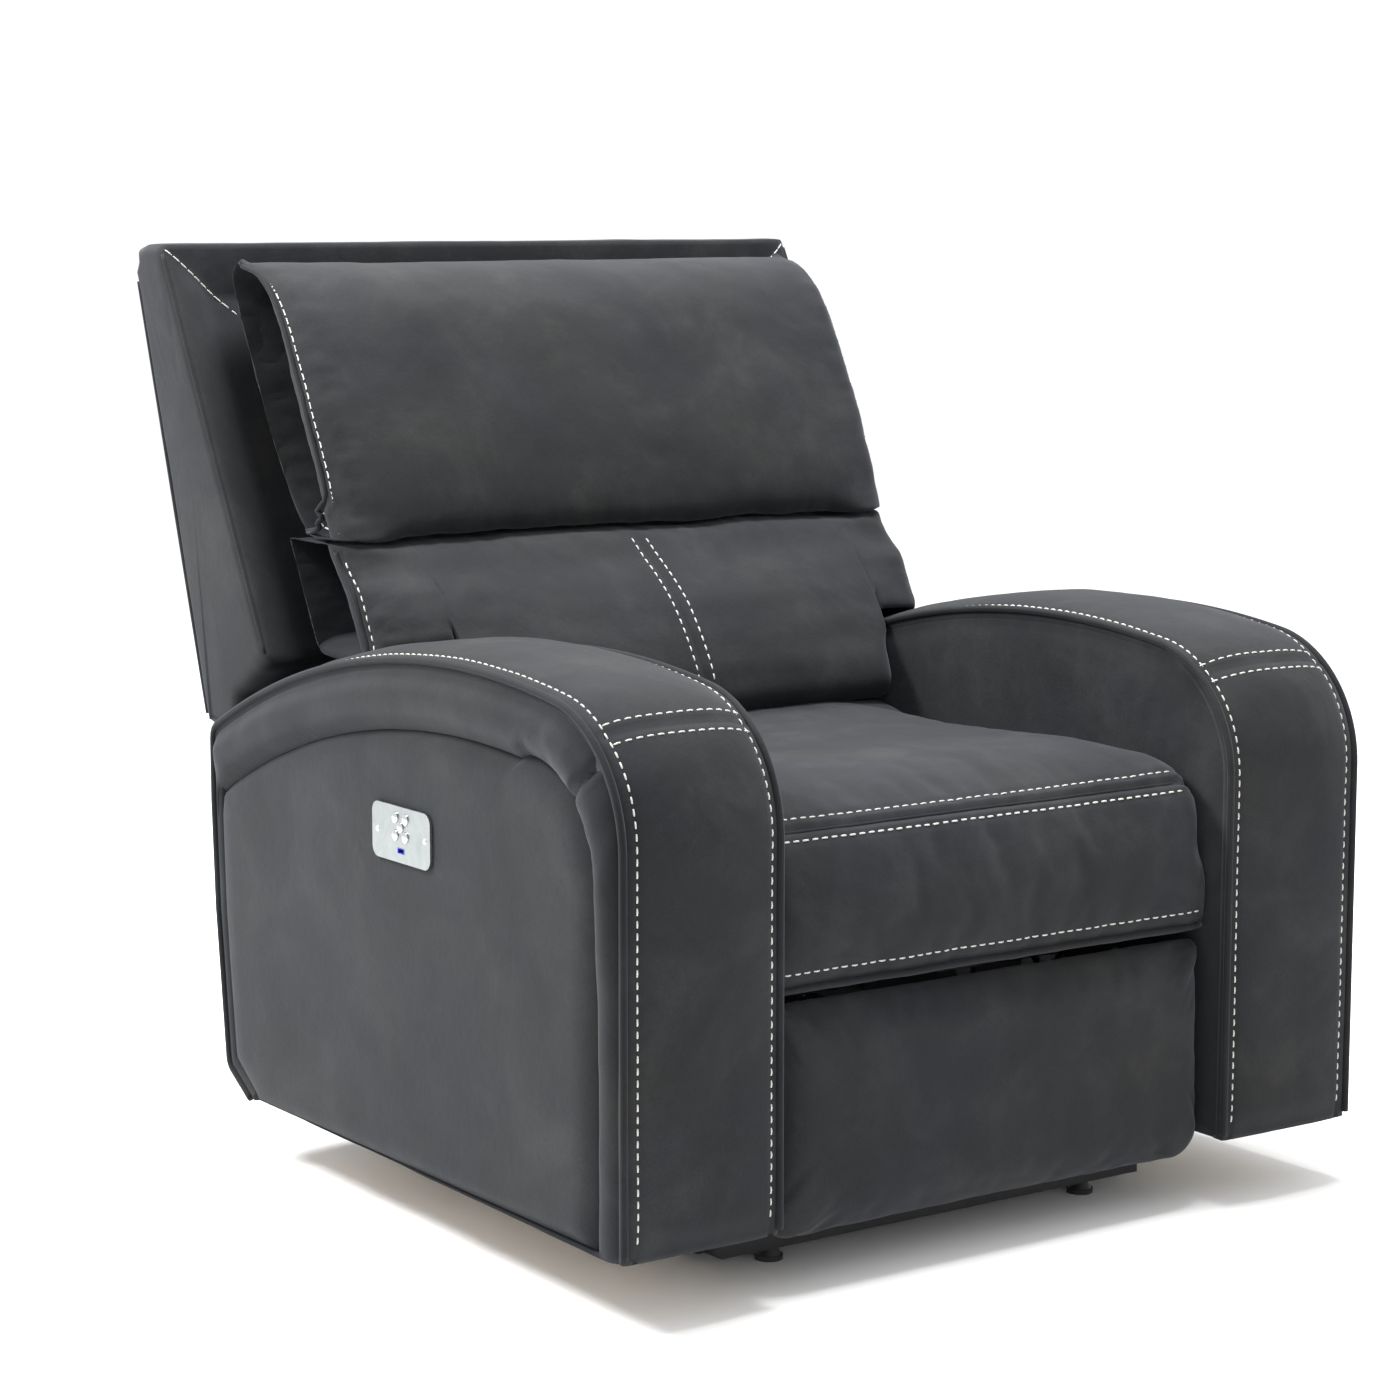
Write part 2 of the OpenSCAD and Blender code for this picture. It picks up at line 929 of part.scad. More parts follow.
module headrest_cushion() {
    color(suede)
        slab(-pad_w / 2, pad_w / 2)
            polygon([lean_pt(crease_z, -82), lean_pt(crease_z, -138), lean_pt(crease_z + 25, -153),
                lean_pt(crease_z + 45, -161), lean_pt(crease_z + 78, -166.5), lean_pt(overall_h - 200, -172),
                lean_pt(overall_h - 120, -174), lean_pt(overall_h - 60, -167), lean_pt(overall_h - 28, -147),
                lean_pt(overall_h - 14, -112), lean_pt(overall_h - 18, -63.5), lean_pt(overall_h - 38, -48.3),
                lean_pt(crease_z + 113, -48.3), lean_pt(crease_z + 73, -60)]);
}

base_side_rails();
base_end_rails();
feet();
base_cross_plates();
base_link_plates();
arm_brackets();
bracket_bolts();
rear_skirt();
power_supply();
power_inlet();
arm_frame_left();
arm_frame_right();
arm_band_left();
arm_band_right();
arm_outer_panel_left();
arm_outer_panel_right();
arm_inner_panel_left();
arm_inner_panel_right();
control_plate();
control_housing();
control_board();
plate_screws();
usb_port();
button_upper_front();
button_upper_rear();
button_centre();
button_lower_front();
button_lower_rear();
recline_motor();
front_swing_links();
rear_swing_links();
recline_shaft();
seat_side_plates();
seat_cross_bar();
seat_frame_rails();
seat_end_rails();
seat_webbing();
seat_cushion();
footrest_motor();
lift_links();
lift_shaft();
knee_links();
stay_links();
reach_links();
footrest_brackets();
footrest_board();
footrest_cushion();
back_brackets();
back_posts();
back_cross_rails();
back_top_rail();
back_wing_frames();
back_webbing();
back_shell();
lumbar_cushion();
headrest_brackets();
headrest_motor();
headrest_rod();
headrest_plate();
headrest_cushion();
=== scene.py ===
"""Looks of the power recliner armchair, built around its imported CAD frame. Metres, +Z up."""
import json
from math import acos, atan2, cos, degrees, exp, pi, radians, sin, sqrt, tan

import bmesh
import bpy
import numpy as np
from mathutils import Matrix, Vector, noise
from mathutils.bvhtree import BVHTree


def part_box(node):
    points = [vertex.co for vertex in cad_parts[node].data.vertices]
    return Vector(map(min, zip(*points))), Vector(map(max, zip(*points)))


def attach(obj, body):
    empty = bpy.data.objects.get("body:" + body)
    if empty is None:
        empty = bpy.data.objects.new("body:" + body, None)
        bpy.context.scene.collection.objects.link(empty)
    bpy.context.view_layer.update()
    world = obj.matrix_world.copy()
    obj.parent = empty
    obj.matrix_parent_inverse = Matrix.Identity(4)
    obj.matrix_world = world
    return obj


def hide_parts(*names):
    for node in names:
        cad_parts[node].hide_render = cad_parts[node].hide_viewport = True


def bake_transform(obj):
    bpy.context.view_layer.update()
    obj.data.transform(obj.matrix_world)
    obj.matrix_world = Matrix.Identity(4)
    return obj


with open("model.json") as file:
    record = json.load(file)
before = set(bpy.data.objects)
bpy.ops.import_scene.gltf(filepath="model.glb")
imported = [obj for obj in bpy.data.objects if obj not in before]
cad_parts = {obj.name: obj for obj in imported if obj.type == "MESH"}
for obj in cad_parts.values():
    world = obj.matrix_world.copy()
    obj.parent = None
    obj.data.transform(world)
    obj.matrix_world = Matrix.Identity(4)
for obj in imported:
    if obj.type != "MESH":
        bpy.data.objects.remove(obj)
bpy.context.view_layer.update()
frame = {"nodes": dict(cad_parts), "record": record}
scene = bpy.context.scene

# ---- sizes, from the CAD boxes

ARM_LO, ARM_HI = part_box("arm_band_right")
PANEL_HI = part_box("arm_outer_panel_right")[1]
INNER_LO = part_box("arm_inner_panel_right")[0]
SHELL_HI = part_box("back_shell")[1]
SEAT_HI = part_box("seat_cushion")[1]
FOOT_LO, FOOT_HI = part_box("footrest_cushion")
HEAD_LO, HEAD_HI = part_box("headrest_cushion")
LUMBAR_LO, LUMBAR_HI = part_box("lumbar_cushion")
PLATE_LO, PLATE_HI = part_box("control_plate")

ARM_IN = INNER_LO.x  # inner face of an arm
ARM_OUT = PANEL_HI.x  # outer face of an arm
ARM_FRONT = ARM_LO.y
ARM_REAR = ARM_HI.y
ARM_BOTTOM = ARM_LO.z
ARM_TOP = ARM_HI.z
NOSE_R = 0.140  # round front corner of the arm
CROWN_R = 1.203  # long arc of the arm's top
CROWN_Y = -0.250
WELT_R = 0.0042
STITCH_LEN = 0.0085
STITCH_GAP = 0.0036
STITCH_R = 0.00105
# one dash of thread: place along it, share of its radius, and lift in radii
DASH = [(0.0, 0.35, -0.9), (0.12, 0.85, 0.1), (0.5, 1.0, 0.55), (0.88, 0.85, 0.1), (1.0, 0.35, -0.9)]


# ---- mesh helpers

def shade_smooth(mesh):
    mesh.polygons.foreach_set("use_smooth", [True] * len(mesh.polygons))


def add_object(name, data):
    obj = bpy.data.objects.new(name, data)
    scene.collection.objects.link(obj)
    return obj


def new_object(name, verts, faces, smooth=True):
    mesh = bpy.data.meshes.new(name)
    mesh.from_pydata([tuple(v) for v in verts], [], [tuple(f) for f in faces])
    mesh.validate()
    if smooth:
        shade_smooth(mesh)
    mesh.update()
    return add_object(name, mesh)


def skin(rows, n, base=0):
    """Quads between closed rings of n points that follow one another."""
    return [(a + j, a + (j + 1) % n, a + n + (j + 1) % n, a + n + j)
            for a in range(base, base + (rows - 1) * n, n) for j in range(n)]


def loft(name, rings, caps=True):
    """Skin over closed rings, an array of shape (rings, points, 3)."""
    rings = np.asarray(rings, float)
    m, n = rings.shape[:2]
    faces = skin(m, n)
    verts = list(rings.reshape(-1, 3))
    if caps:
        for ring, flip in ((0, True), (m - 1, False)):
            centre = len(verts)
            verts.append(rings[ring].mean(0))
            for j in range(n):
                face = (ring * n + j, ring * n + (j + 1) % n, centre)
                faces.append(face[::-1] if flip else face)
    obj = new_object(name, verts, faces)
    face_outwards(obj)
    return obj


def face_outwards(obj, merge=0.0):
    """Turns faces outwards, after merging vertices closer than merge."""
    bm = bmesh.new()
    bm.from_mesh(obj.data)
    if merge:
        bmesh.ops.remove_doubles(bm, verts=bm.verts, dist=merge)
    bmesh.ops.recalc_face_normals(bm, faces=bm.faces)
    bm.to_mesh(obj.data)
    bm.free()
    shade_smooth(obj.data)
    obj.data.update()


def join(name, objs):
    """One object from several."""
    verts, faces, base = [], [], 0
    for o in objs:
        co = coords(o)
        verts.extend(co)
        faces.extend([tuple(v + base for v in p.vertices) for p in o.data.polygons])
        base += len(co)
    for o in objs:
        bpy.data.objects.remove(o)
    return new_object(name, verts, faces)


def read_vertices(mesh, field="co"):
    values = np.zeros(len(mesh.vertices) * 3)
    mesh.vertices.foreach_get(field, values)
    return values.reshape(-1, 3)


def coords(obj):
    return read_vertices(obj.data)


def coords_normals(obj):
    return coords(obj), read_vertices(obj.data, "normal")


def set_coords(obj, co):
    obj.data.vertices.foreach_set("co", np.asarray(co, float).ravel())
    obj.data.update()


def apply_modifiers(obj):
    dg = bpy.context.evaluated_depsgraph_get()
    mesh = bpy.data.meshes.new_from_object(obj.evaluated_get(dg))
    obj.modifiers.clear()
    old = obj.data
    obj.data = mesh
    bpy.data.meshes.remove(old)
    shade_smooth(mesh)


def subdivide(obj):
    m = obj.modifiers.new("smooth", "SUBSURF")
    m.levels = m.render_levels = 1
    apply_modifiers(obj)


def distances(path):
    """Length along a path up to each of its points."""
    return np.r_[0, np.cumsum(np.linalg.norm(np.diff(path, axis=0), axis=1))]


def resample(path, step):
    """Points every step along a polyline of any dimension."""
    path = np.asarray(path, float)
    d = distances(path)
    count = max(2, int(round(d[-1] / step)) + 1)
    s = np.linspace(0, d[-1], count)
    return np.stack([np.interp(s, d, path[:, k]) for k in range(path.shape[1])], 1)


def tube(name, path, radius, sides=10):
    """Round cord along a 3D polyline."""
    path = np.asarray(path, float)
    tangent = np.gradient(path, axis=0)
    tangent /= np.linalg.norm(tangent, axis=1)[:, None] + 1e-12
    side = np.cross(tangent[0], [0, 0, 1])
    if np.linalg.norm(side) < 0.1:
        side = np.cross(tangent[0], [0, 1, 0])
    rings = []
    for p, t in zip(path, tangent):
        side = side - t * (side @ t)
        side /= np.linalg.norm(side)
        up = np.cross(t, side)
        a = np.linspace(0, 2 * np.pi, sides, endpoint=False)
        rings.append(p + radius * (np.cos(a)[:, None] * side + np.sin(a)[:, None] * up))
    return loft(name, rings)


def stitches(name, lines):
    """Raised thread dashes along lines, each a list of (point, normal)."""
    verts, faces = [], []
    ring = [(cos(a), sin(a)) for a in np.linspace(0, 2 * np.pi, 6, endpoint=False)]
    for line in lines:
        pts = np.array([p for p, _ in line], float)
        nor = np.array([n for _, n in line], float)
        d = distances(pts)
        pitch = STITCH_LEN + STITCH_GAP
        at = lambda s, a: np.array([np.interp(s, d, a[:, k]) for k in range(3)])
        for k in range(int(d[-1] / pitch)):
            s0 = k * pitch + STITCH_GAP / 2
            start, end = at(s0, pts), at(s0 + STITCH_LEN, pts)
            n = at(s0 + STITCH_LEN / 2, nor)
            n /= np.linalg.norm(n) + 1e-12
            t = end - start
            t /= np.linalg.norm(t) + 1e-12
            side = np.cross(t, n)
            base = len(verts)
            for f, w, lift in DASH:
                c = start + (end - start) * f + n * lift * STITCH_R
                for cx, cy in ring:
                    verts.append(c + side * cx * STITCH_R * w + n * cy * STITCH_R * w * 0.8)
            m = len(ring)
            faces += skin(len(DASH), m, base)
            faces.append(tuple(base + j for j in range(m))[::-1])
            faces.append(tuple(base + (len(DASH) - 1) * m + j for j in range(m)))
    return new_object(name, verts, faces)


def fbm(p, scale, octaves, seed):
    """Smooth noise, about -1 to 1, at a point."""
    at = Vector((p[0] / scale + seed, p[1] / scale - seed, p[2] / scale + 2 * seed))
    return noise.fractal(at, 1.0, 2.0, octaves)


def flat_fbm(points, scale, seed):
    """The same noise at each point of a side view."""
    return np.array([fbm((q[0], q[1], 0), scale, 3, seed) for q in points])


def roughen(obj, amount, scale, seed):
    """Pushes a mesh gently in and out, as padding under cloth does."""
    co, n = coords_normals(obj)
    shift = np.array([fbm(c, scale, 3, seed) for c in co])
    set_coords(obj, co + n * (shift * amount)[:, None])


def groove(obj, line, depth, width):
    """Draws the cloth in along a line of points."""
    co, n = coords_normals(obj)
    pts = resample(line, width * 0.5)
    best = np.full(len(co), 1e9)
    lo, hi = pts.min(0) - 4 * width, pts.max(0) + 4 * width
    near = np.where(np.all((co > lo) & (co < hi), axis=1))[0]
    for chunk in np.array_split(pts, max(1, len(pts) // 64)):
        d = np.linalg.norm(co[near][:, None, :] - chunk[None], axis=2).min(1)
        best[near] = np.minimum(best[near], d)
    set_coords(obj, co - n * (depth * bell(best, width))[:, None])


# ---- camera, light, floor

def aim(name, data, place, look):
    obj = add_object(name, data)
    obj.location = place
    obj.rotation_mode = "QUATERNION"
    obj.rotation_quaternion = look.to_track_quat("-Z", "Y")
    return obj


def make_camera():
    data = bpy.data.cameras.new("camera")
    data.sensor_width = 36
    data.lens = 89.5
    azimuth, down = radians(-35.0), radians(8.25)
    level = cos(down)
    look = Vector((-sin(azimuth) * level, cos(azimuth) * level, -sin(down)))
    scene.camera = aim("camera", data, (-2.3065, -3.2746, 1.1070), look)


def area_light(name, place, target, size, power):
    data = bpy.data.lights.new(name, "AREA")
    data.shape = "DISK"
    data.size = size
    data.energy = power
    aim(name, data, place, Vector(target) - Vector(place))


def make_stage():
    corners = [(-12, -12, 0), (12, -12, 0), (12, 12, 0), (-12, 12, 0)]
    floor = new_object("floor", corners, [(0, 1, 2, 3)], False)
    mat = bpy.data.materials.new("floor_pale")
    mat.use_nodes = True
    bsdf = mat.node_tree.nodes["Principled BSDF"]
    put(bsdf, Base_Color=(0.975, 0.975, 0.975), Roughness=0.9)
    floor.data.materials.append(mat)
    world = bpy.data.worlds.new("studio")
    scene.world = world
    world.use_nodes = True
    put(world.node_tree.nodes["Background"], Color=(1, 1, 1), Strength=1.03)
    area_light("key", (-2.3, 1.4, 3.2), (-0.1, 0, 0.55), 1.2, 215)
    area_light("top", (0.2, -0.2, 3.8), (0, 0, 0.6), 1.3, 215)
    scene.view_settings.view_transform = "Standard"


# ---- materials

def node(near, kind, **values):
    """New node in the tree of another node or socket."""
    made = near.id_data.nodes.new(kind)
    for key, value in values.items():
        setattr(made, key, value)
    return made


def feed(socket, value):
    """A number, a colour or another node's output into a socket."""
    if isinstance(value, bpy.types.NodeSocket):
        socket.id_data.links.new(value, socket)
    else:
        socket.default_value = (*value, 1) if isinstance(value, tuple) else value


def put(target, **values):
    """Feeds a node's inputs by name, with _ for a space."""
    for key, value in values.items():
        feed(target.inputs[key.replace("_", " ")], value)


def noise_node(coord, scale, detail=4.0, rough=0.55, warp=0.0):
    n = node(coord, "ShaderNodeTexNoise")
    put(n, Scale=scale, Detail=detail, Roughness=rough, Distortion=warp, Vector=coord)
    return n.outputs["Fac"]


def ramp(fac, stops):
    r = node(fac, "ShaderNodeValToRGB")
    while len(r.color_ramp.elements) < len(stops):
        r.color_ramp.elements.new(0.5)
    for e, (at, colour) in zip(r.color_ramp.elements, stops):
        e.position = at
        e.color = (*colour, 1) if isinstance(colour, tuple) else (*(colour,) * 3, 1)
    put(r, Fac=fac)
    return r.outputs["Color"]


def maths(op, a, b):
    m = node(a, "ShaderNodeMath", operation=op)
    for socket, value in zip(m.inputs, (a, b)):
        feed(socket, value)
    return m.outputs[0]


def mix_colour(fac, a, b, mode="MIX"):
    m = node(a, "ShaderNodeMix", data_type="RGBA", blend_type=mode)
    for name, value in (("Factor", fac), ("A", a), ("B", b)):
        feed(next(s for s in m.inputs
                  if s.name == name and s.enabled and (name == "Factor") == (s.type == "VALUE")), value)
    return next(s for s in m.outputs if s.type == "RGBA")


def material(name):
    mat = bpy.data.materials.new(name)
    mat.use_nodes = True
    bsdf = mat.node_tree.nodes["Principled BSDF"]
    return mat, bsdf, node(bsdf, "ShaderNodeTexCoord").outputs["Object"]


def bump(bsdf, height, strength, distance):
    b = node(bsdf, "ShaderNodeBump")
    put(b, Strength=strength, Distance=distance, Height=height)
    put(bsdf, Normal=b.outputs["Normal"])


def suede_material(name, tone=1.0):
    """Nubuck microfibre: blotchy slate, brushed nap, fine grain and paler patches at random."""
    mat, bsdf, coord = material(name)
    # a tone below 1 darkens every colour; the welt copy uses it as painted shade
    shade = lambda r, g, b: (r * tone, g * tone, b * tone)
    broad = noise_node(coord, 7.5, 5.0, 0.62, 0.6)
    blotch = noise_node(coord, 26.0, 4.0, 0.6, 0.35)
    cloud = maths("ADD", maths("MULTIPLY", broad, 0.6), maths("MULTIPLY", blotch, 0.4))
    base = ramp(cloud, [(0.30, shade(0.0072, 0.0077, 0.0088)),
                              (0.50, shade(0.0125, 0.0131, 0.0141)),
                              (0.70, shade(0.0240, 0.0246, 0.0250))])
    warm = noise_node(coord, 4.0, 3.0, 0.5, 0.8)
    tint = ramp(warm, [(0.38, (0.93, 0.97, 1.07)), (0.64, (1.05, 1.03, 0.95))])
    coloured = mix_colour(0.75, base, tint, "MULTIPLY")
    fleck = noise_node(coord, 420.0, 2.0, 0.7)
    grain = ramp(fleck, [(0.36, 0.78), (0.66, 1.2)])
    final = mix_colour(0.55, coloured, grain, "MULTIPLY")
    rough = ramp(blotch, [(0.3, 0.72), (0.75, 0.92)])
    put(bsdf, Base_Color=final, Roughness=rough, Specular_IOR_Level=0.16, Sheen_Weight=0.10,
        Sheen_Roughness=0.5, Sheen_Tint=(0.75, 0.79, 0.88))
    pores = noise_node(coord, 700.0, 3.0, 0.65)
    nap = noise_node(coord, 95.0, 4.0, 0.6, 0.4)
    height = maths("ADD", maths("MULTIPLY", pores, 0.35), maths("MULTIPLY", nap, 0.9))
    bump(bsdf, height, 0.35, 0.0012)
    return mat


def thread_material():
    mat, bsdf, coord = material("contrast_thread")
    wave = node(coord, "ShaderNodeTexWave", bands_direction="DIAGONAL")
    put(wave, Scale=420.0, Distortion=1.5, Vector=coord)
    colour = ramp(wave.outputs["Fac"], [(0.1, (0.36, 0.355, 0.33)), (0.7, (0.62, 0.61, 0.57))])
    put(bsdf, Base_Color=colour, Roughness=0.6, Sheen_Weight=0.2)
    bump(bsdf, wave.outputs["Fac"], 0.5, 0.0004)
    return mat


def metal_material(name, dark, light, rough_low, rough_high, grain=180.0, metallic=1.0, strength=0.12):
    """Painted or bare metal with a fine brushed or orange-peel grain and handling marks."""
    mat, bsdf, coord = material(name)
    marks = noise_node(coord, 38.0, 5.0, 0.65, 0.5)
    rough = ramp(marks, [(0.3, rough_low), (0.72, rough_high)])
    put(bsdf, Base_Color=ramp(marks, [(0.3, dark), (0.7, light)]), Roughness=rough, Metallic=metallic)
    bump(bsdf, noise_node(coord, grain * 4, 3.0, 0.6), strength, 0.0003)
    return mat


def plastic_material(name, dark, light, rough=0.45):
    mat, bsdf, coord = material(name)
    grain = noise_node(coord, 650.0, 2.0, 0.6)
    patch = noise_node(coord, 22.0, 4.0, 0.6)
    worn = ramp(patch, [(0.3, rough), (0.7, min(1, rough + 0.15))])
    put(bsdf, Base_Color=ramp(patch, [(0.3, dark), (0.7, light)]), Roughness=worn)
    bump(bsdf, grain, 0.18, 0.0003)
    return mat


def wood_material():
    mat, bsdf, coord = material("plywood")
    stretch = node(coord, "ShaderNodeMapping")
    stretch.inputs["Scale"].default_value = (9.0, 9.0, 1.6)
    put(stretch, Vector=coord)
    rings = noise_node(stretch.outputs["Vector"], 9.0, 6.0, 0.6, 1.4)
    fine = noise_node(stretch.outputs["Vector"], 120.0, 3.0, 0.6)
    base = ramp(rings, [(0.32, (0.25, 0.20, 0.15)), (0.55, (0.40, 0.34, 0.27)),
                              (0.75, (0.48, 0.42, 0.34))])
    grain = ramp(fine, [(0.4, 0.75), (0.6, 1.1)])
    put(bsdf, Base_Color=mix_colour(0.3, base, grain, "MULTIPLY"), Roughness=0.7)
    bump(bsdf, fine, 0.25, 0.0005)
    return mat


def webbing_material():
    mat, bsdf, coord = material("woven_webbing")
    warp = node(coord, "ShaderNodeTexWave", bands_direction="X")
    weft = node(coord, "ShaderNodeTexWave", bands_direction="Y")
    for w in (warp, weft):
        put(w, Scale=190.0, Vector=coord)
    weave = maths("MULTIPLY", warp.outputs["Fac"], weft.outputs["Fac"])
    colour = ramp(weave, [(0.0, (0.012, 0.012, 0.013)), (1.0, (0.05, 0.05, 0.052))])
    put(bsdf, Base_Color=colour, Roughness=0.85)
    bump(bsdf, weave, 0.6, 0.0008)
    return mat


def pcb_material():
    mat, bsdf, coord = material("circuit_board")
    cells = node(coord, "ShaderNodeTexVoronoi", feature="DISTANCE_TO_EDGE")
    put(cells, Scale=240.0, Vector=coord)
    colour = ramp(cells.outputs["Distance"], [(0.02, (0.10, 0.32, 0.12)), (0.08, (0.012, 0.10, 0.04))])
    put(bsdf, Base_Color=colour, Roughness=0.35)
    return mat


SUEDE = suede_material("suede")
# darker copy of the suede, tone 0.72: painted shade along welts and seams, and on the cloth-wrapped pieces in
# the gaps
SUEDE_PAINTED_SHADE = suede_material("suede_welt_painted_shade", 0.72)
THREAD = thread_material()
SLOT_MATERIALS = {
    "suede": SUEDE,
    "link_steel": metal_material("link_steel", (0.055, 0.056, 0.06), (0.10, 0.10, 0.105), 0.32, 0.5),
    "black_steel": metal_material("black_steel", (0.010, 0.010, 0.011), (0.022, 0.022, 0.024), 0.38, 0.6,
                                  metallic=0.4),
    "bolt_steel": metal_material("bolt_steel", (0.42, 0.42, 0.43), (0.66, 0.66, 0.67), 0.2, 0.4),
    "plate_metal": metal_material("plate_metal", (0.22, 0.24, 0.24), (0.32, 0.34, 0.34), 0.30, 0.45, 260.0),
    "button_metal": metal_material("button_metal", (0.62, 0.63, 0.66), (0.74, 0.75, 0.78), 0.10, 0.20, 300.0,
                                   strength=0.04),
    "motor_plastic": plastic_material("motor_plastic", (0.016, 0.016, 0.017), (0.030, 0.030, 0.032)),
    "foot_plastic": plastic_material("foot_plastic", (0.010, 0.010, 0.011), (0.020, 0.020, 0.022), 0.4),
    "usb_plastic": plastic_material("usb_plastic", (0.010, 0.012, 0.30), (0.020, 0.028, 0.48), 0.25),
    "plywood": wood_material(),
    "black_cloth": webbing_material(),
    "board_green": pcb_material(),
}


# plywood pieces wrapped in the cover's cloth, as they come into view when the chair opens; they wear the
# darkened suede copy, painted shade for their place in the gaps
WRAPPED = ("back_posts", "back_cross_rails", "headrest_plate", "footrest_board")


def paint(obj, mat):
    obj.data.materials.clear()
    obj.data.materials.append(mat)


def finish_cad_nodes():
    """The CAD nodes get their slot's material, or the darkened suede copy as painted shade on cloth-wrapped
    pieces, and soft machined edges.
    """
    for part in frame["record"]["subparts"]:
        obj, kind = frame["nodes"][part["node"]], part["material_slot"]
        paint(obj, SUEDE_PAINTED_SHADE if part["node"] in WRAPPED else SLOT_MATERIALS[kind])
        if kind in ("plate_metal", "black_steel", "plywood", "link_steel"):
            edge = obj.modifiers.new("edge", "BEVEL")
            edge.width = 0.0011 if kind == "plate_metal" else 0.0008
            edge.segments = 3
            edge.limit_method = "ANGLE"
            edge.angle_limit = radians(50)


def finish(obj, mat=SUEDE, body="base", ride=True):
    paint(obj, mat)
    if ride:
        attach(obj, body)
    return obj


# ---- cloth simulation

def inflate(obj, held, pressure, cap, grow, stiff=14.0, frames=20):
    """Blows a closed cover up like stuffed fabric; held, 0 to 1, is how firmly each point is sewn down."""
    start = coords(obj)
    group = obj.vertex_groups.new(name="held")
    for i, w in enumerate(held):
        if w > 0.01:
            group.add([i], float(w), "REPLACE")
    cloth = obj.modifiers.new("cloth", "CLOTH")
    s = cloth.settings
    s.quality = 6
    s.mass = 0.35
    s.tension_stiffness = s.compression_stiffness = stiff
    s.shear_stiffness = stiff * 0.6
    s.bending_stiffness = 0.6
    s.tension_damping = s.compression_damping = s.shear_damping = 12
    s.air_damping = 2.5
    s.use_pressure = True
    s.uniform_pressure_force = pressure
    s.vertex_group_mass = "held"
    s.pin_stiffness = 1.0
    s.shrink_min = -grow
    s.effector_weights.gravity = 0
    cloth.collision_settings.use_collision = False
    cloth.point_cache.frame_start = 1
    cloth.point_cache.frame_end = frames
    for f in range(1, frames + 1):
        scene.frame_set(f)
    dg = bpy.context.evaluated_depsgraph_get()
    mesh = bpy.data.meshes.new_from_object(obj.evaluated_get(dg))
    co = read_vertices(mesh)
    bpy.data.meshes.remove(mesh)
    obj.modifiers.clear()
    obj.vertex_groups.clear()
    scene.frame_set(1)
    move = co - start
    size = np.linalg.norm(move, axis=1)
    size[size == 0] = 1e-9
    limit = cap * np.tanh(size / cap) / size
    set_coords(obj, start + move * limit[:, None])


def relax(obj, factor):
    """One round of Laplacian smoothing."""
    edges = np.zeros(len(obj.data.edges) * 2, int)
    obj.data.edges.foreach_get("vertices", edges)
    a, b = edges.reshape(-1, 2).T
    co = coords(obj)
    count = np.bincount(np.r_[a, b], minlength=len(co))[:, None]
    total = np.zeros_like(co)
    np.add.at(total, a, co[b])
    np.add.at(total, b, co[a])
    set_coords(obj, co + (total / count - co) * factor)


def surface(obj):
    faces = [tuple(p.vertices) for p in obj.data.polygons]
    return BVHTree.FromPolygons([tuple(c) for c in coords(obj)], faces)


def hit_along(tree, start, direction, reach, back=0.0):
    """(point, normal) where a ray from start, moved back along it first, meets the surface, or None."""
    d = Vector(direction).normalized()
    place, normal = tree.ray_cast(Vector(start) - d * back, d, reach)[:2]
    if place is None:
        return None
    normal = normal if normal.dot(d) < 0 else -normal
    return np.array(place), np.array(normal)


def cast(tree, points, direction, reach=0.6, back=0.25):
    """Smooth line of (point, normal) where rays from points meet the surface."""
    hits = [hit_along(tree, p, direction, reach, back) for p in points]
    return smooth_line([h for h in hits if h])


def places(line):
    return [p for p, _ in line]


def smooth_line(line):
    if len(line) < 5:
        return line
    p = np.array([a for a, _ in line])
    n = np.array([b for _, b in line])
    for _ in range(2):
        p[1:-1] = (p[:-2] + 2 * p[1:-1] + p[2:]) / 4
        n[1:-1] = (n[:-2] + 2 * n[1:-1] + n[2:]) / 4
    n /= np.linalg.norm(n, axis=1)[:, None]
    return list(zip(p, n))


def bell(x, width):
    return np.exp(-(x / width) ** 2)


def in_side_view(x, points):
    """Side-view (y, z) points set at x, one value or one for each."""
    return np.column_stack([np.broadcast_to(x, len(points)), points])


def smooth01(t):
    t = np.clip(t, 0, 1)
    return t * t * (3 - 2 * t)


# ---- arms

def arc(centre, radius, start, end, count):
    a = np.radians(np.linspace(start, end, count))
    return np.stack([centre[0] + radius * np.cos(a), centre[1] + radius * np.sin(a)], 1)


def fillet(p, q, r, radius, count=8):
    """Round corner at q between the lines p-q and q-r."""
    p, q, r = (np.asarray(v, float) for v in (p, q, r))
    a, b = (p - q) / np.linalg.norm(p - q), (r - q) / np.linalg.norm(r - q)
    half = acos(np.clip(a @ b, -1, 1)) / 2
    reach = radius / tan(half)
    s, e = q + a * reach, q + b * reach
    t = np.linspace(0, 1, count)[:, None]
    return (1 - t) ** 2 * s + 2 * t * (1 - t) * q + t ** 2 * e


NOSE_DROP = sqrt((CROWN_R - NOSE_R) ** 2 - (ARM_FRONT + NOSE_R - CROWN_Y) ** 2)
NOSE_C = np.array([ARM_FRONT + NOSE_R, ARM_TOP - CROWN_R + NOSE_DROP])
CROWN_C = np.array([CROWN_Y, ARM_TOP - CROWN_R])
REAR_LINE = [(ARM_REAR, ARM_BOTTOM + 0.340), (ARM_REAR - 0.006, ARM_BOTTOM + 0.215),
             (ARM_REAR - 0.026, ARM_BOTTOM + 0.033), (ARM_REAR - 0.081, ARM_BOTTOM)]
FIELD_FRONT, FIELD_TOP = ARM_FRONT + 0.048, ARM_TOP - 0.073  # field inset in the outer face
FIELD_R = 0.127
FIELD_CROWN_R = 1.160
PLATE_FLAT = (0.064, 0.034)  # half size of the flat that the control plate sits on
FIELD_MID = np.array([-0.12, 0.30])
SIDE_NAME = {-1: "left", 1: "right"}


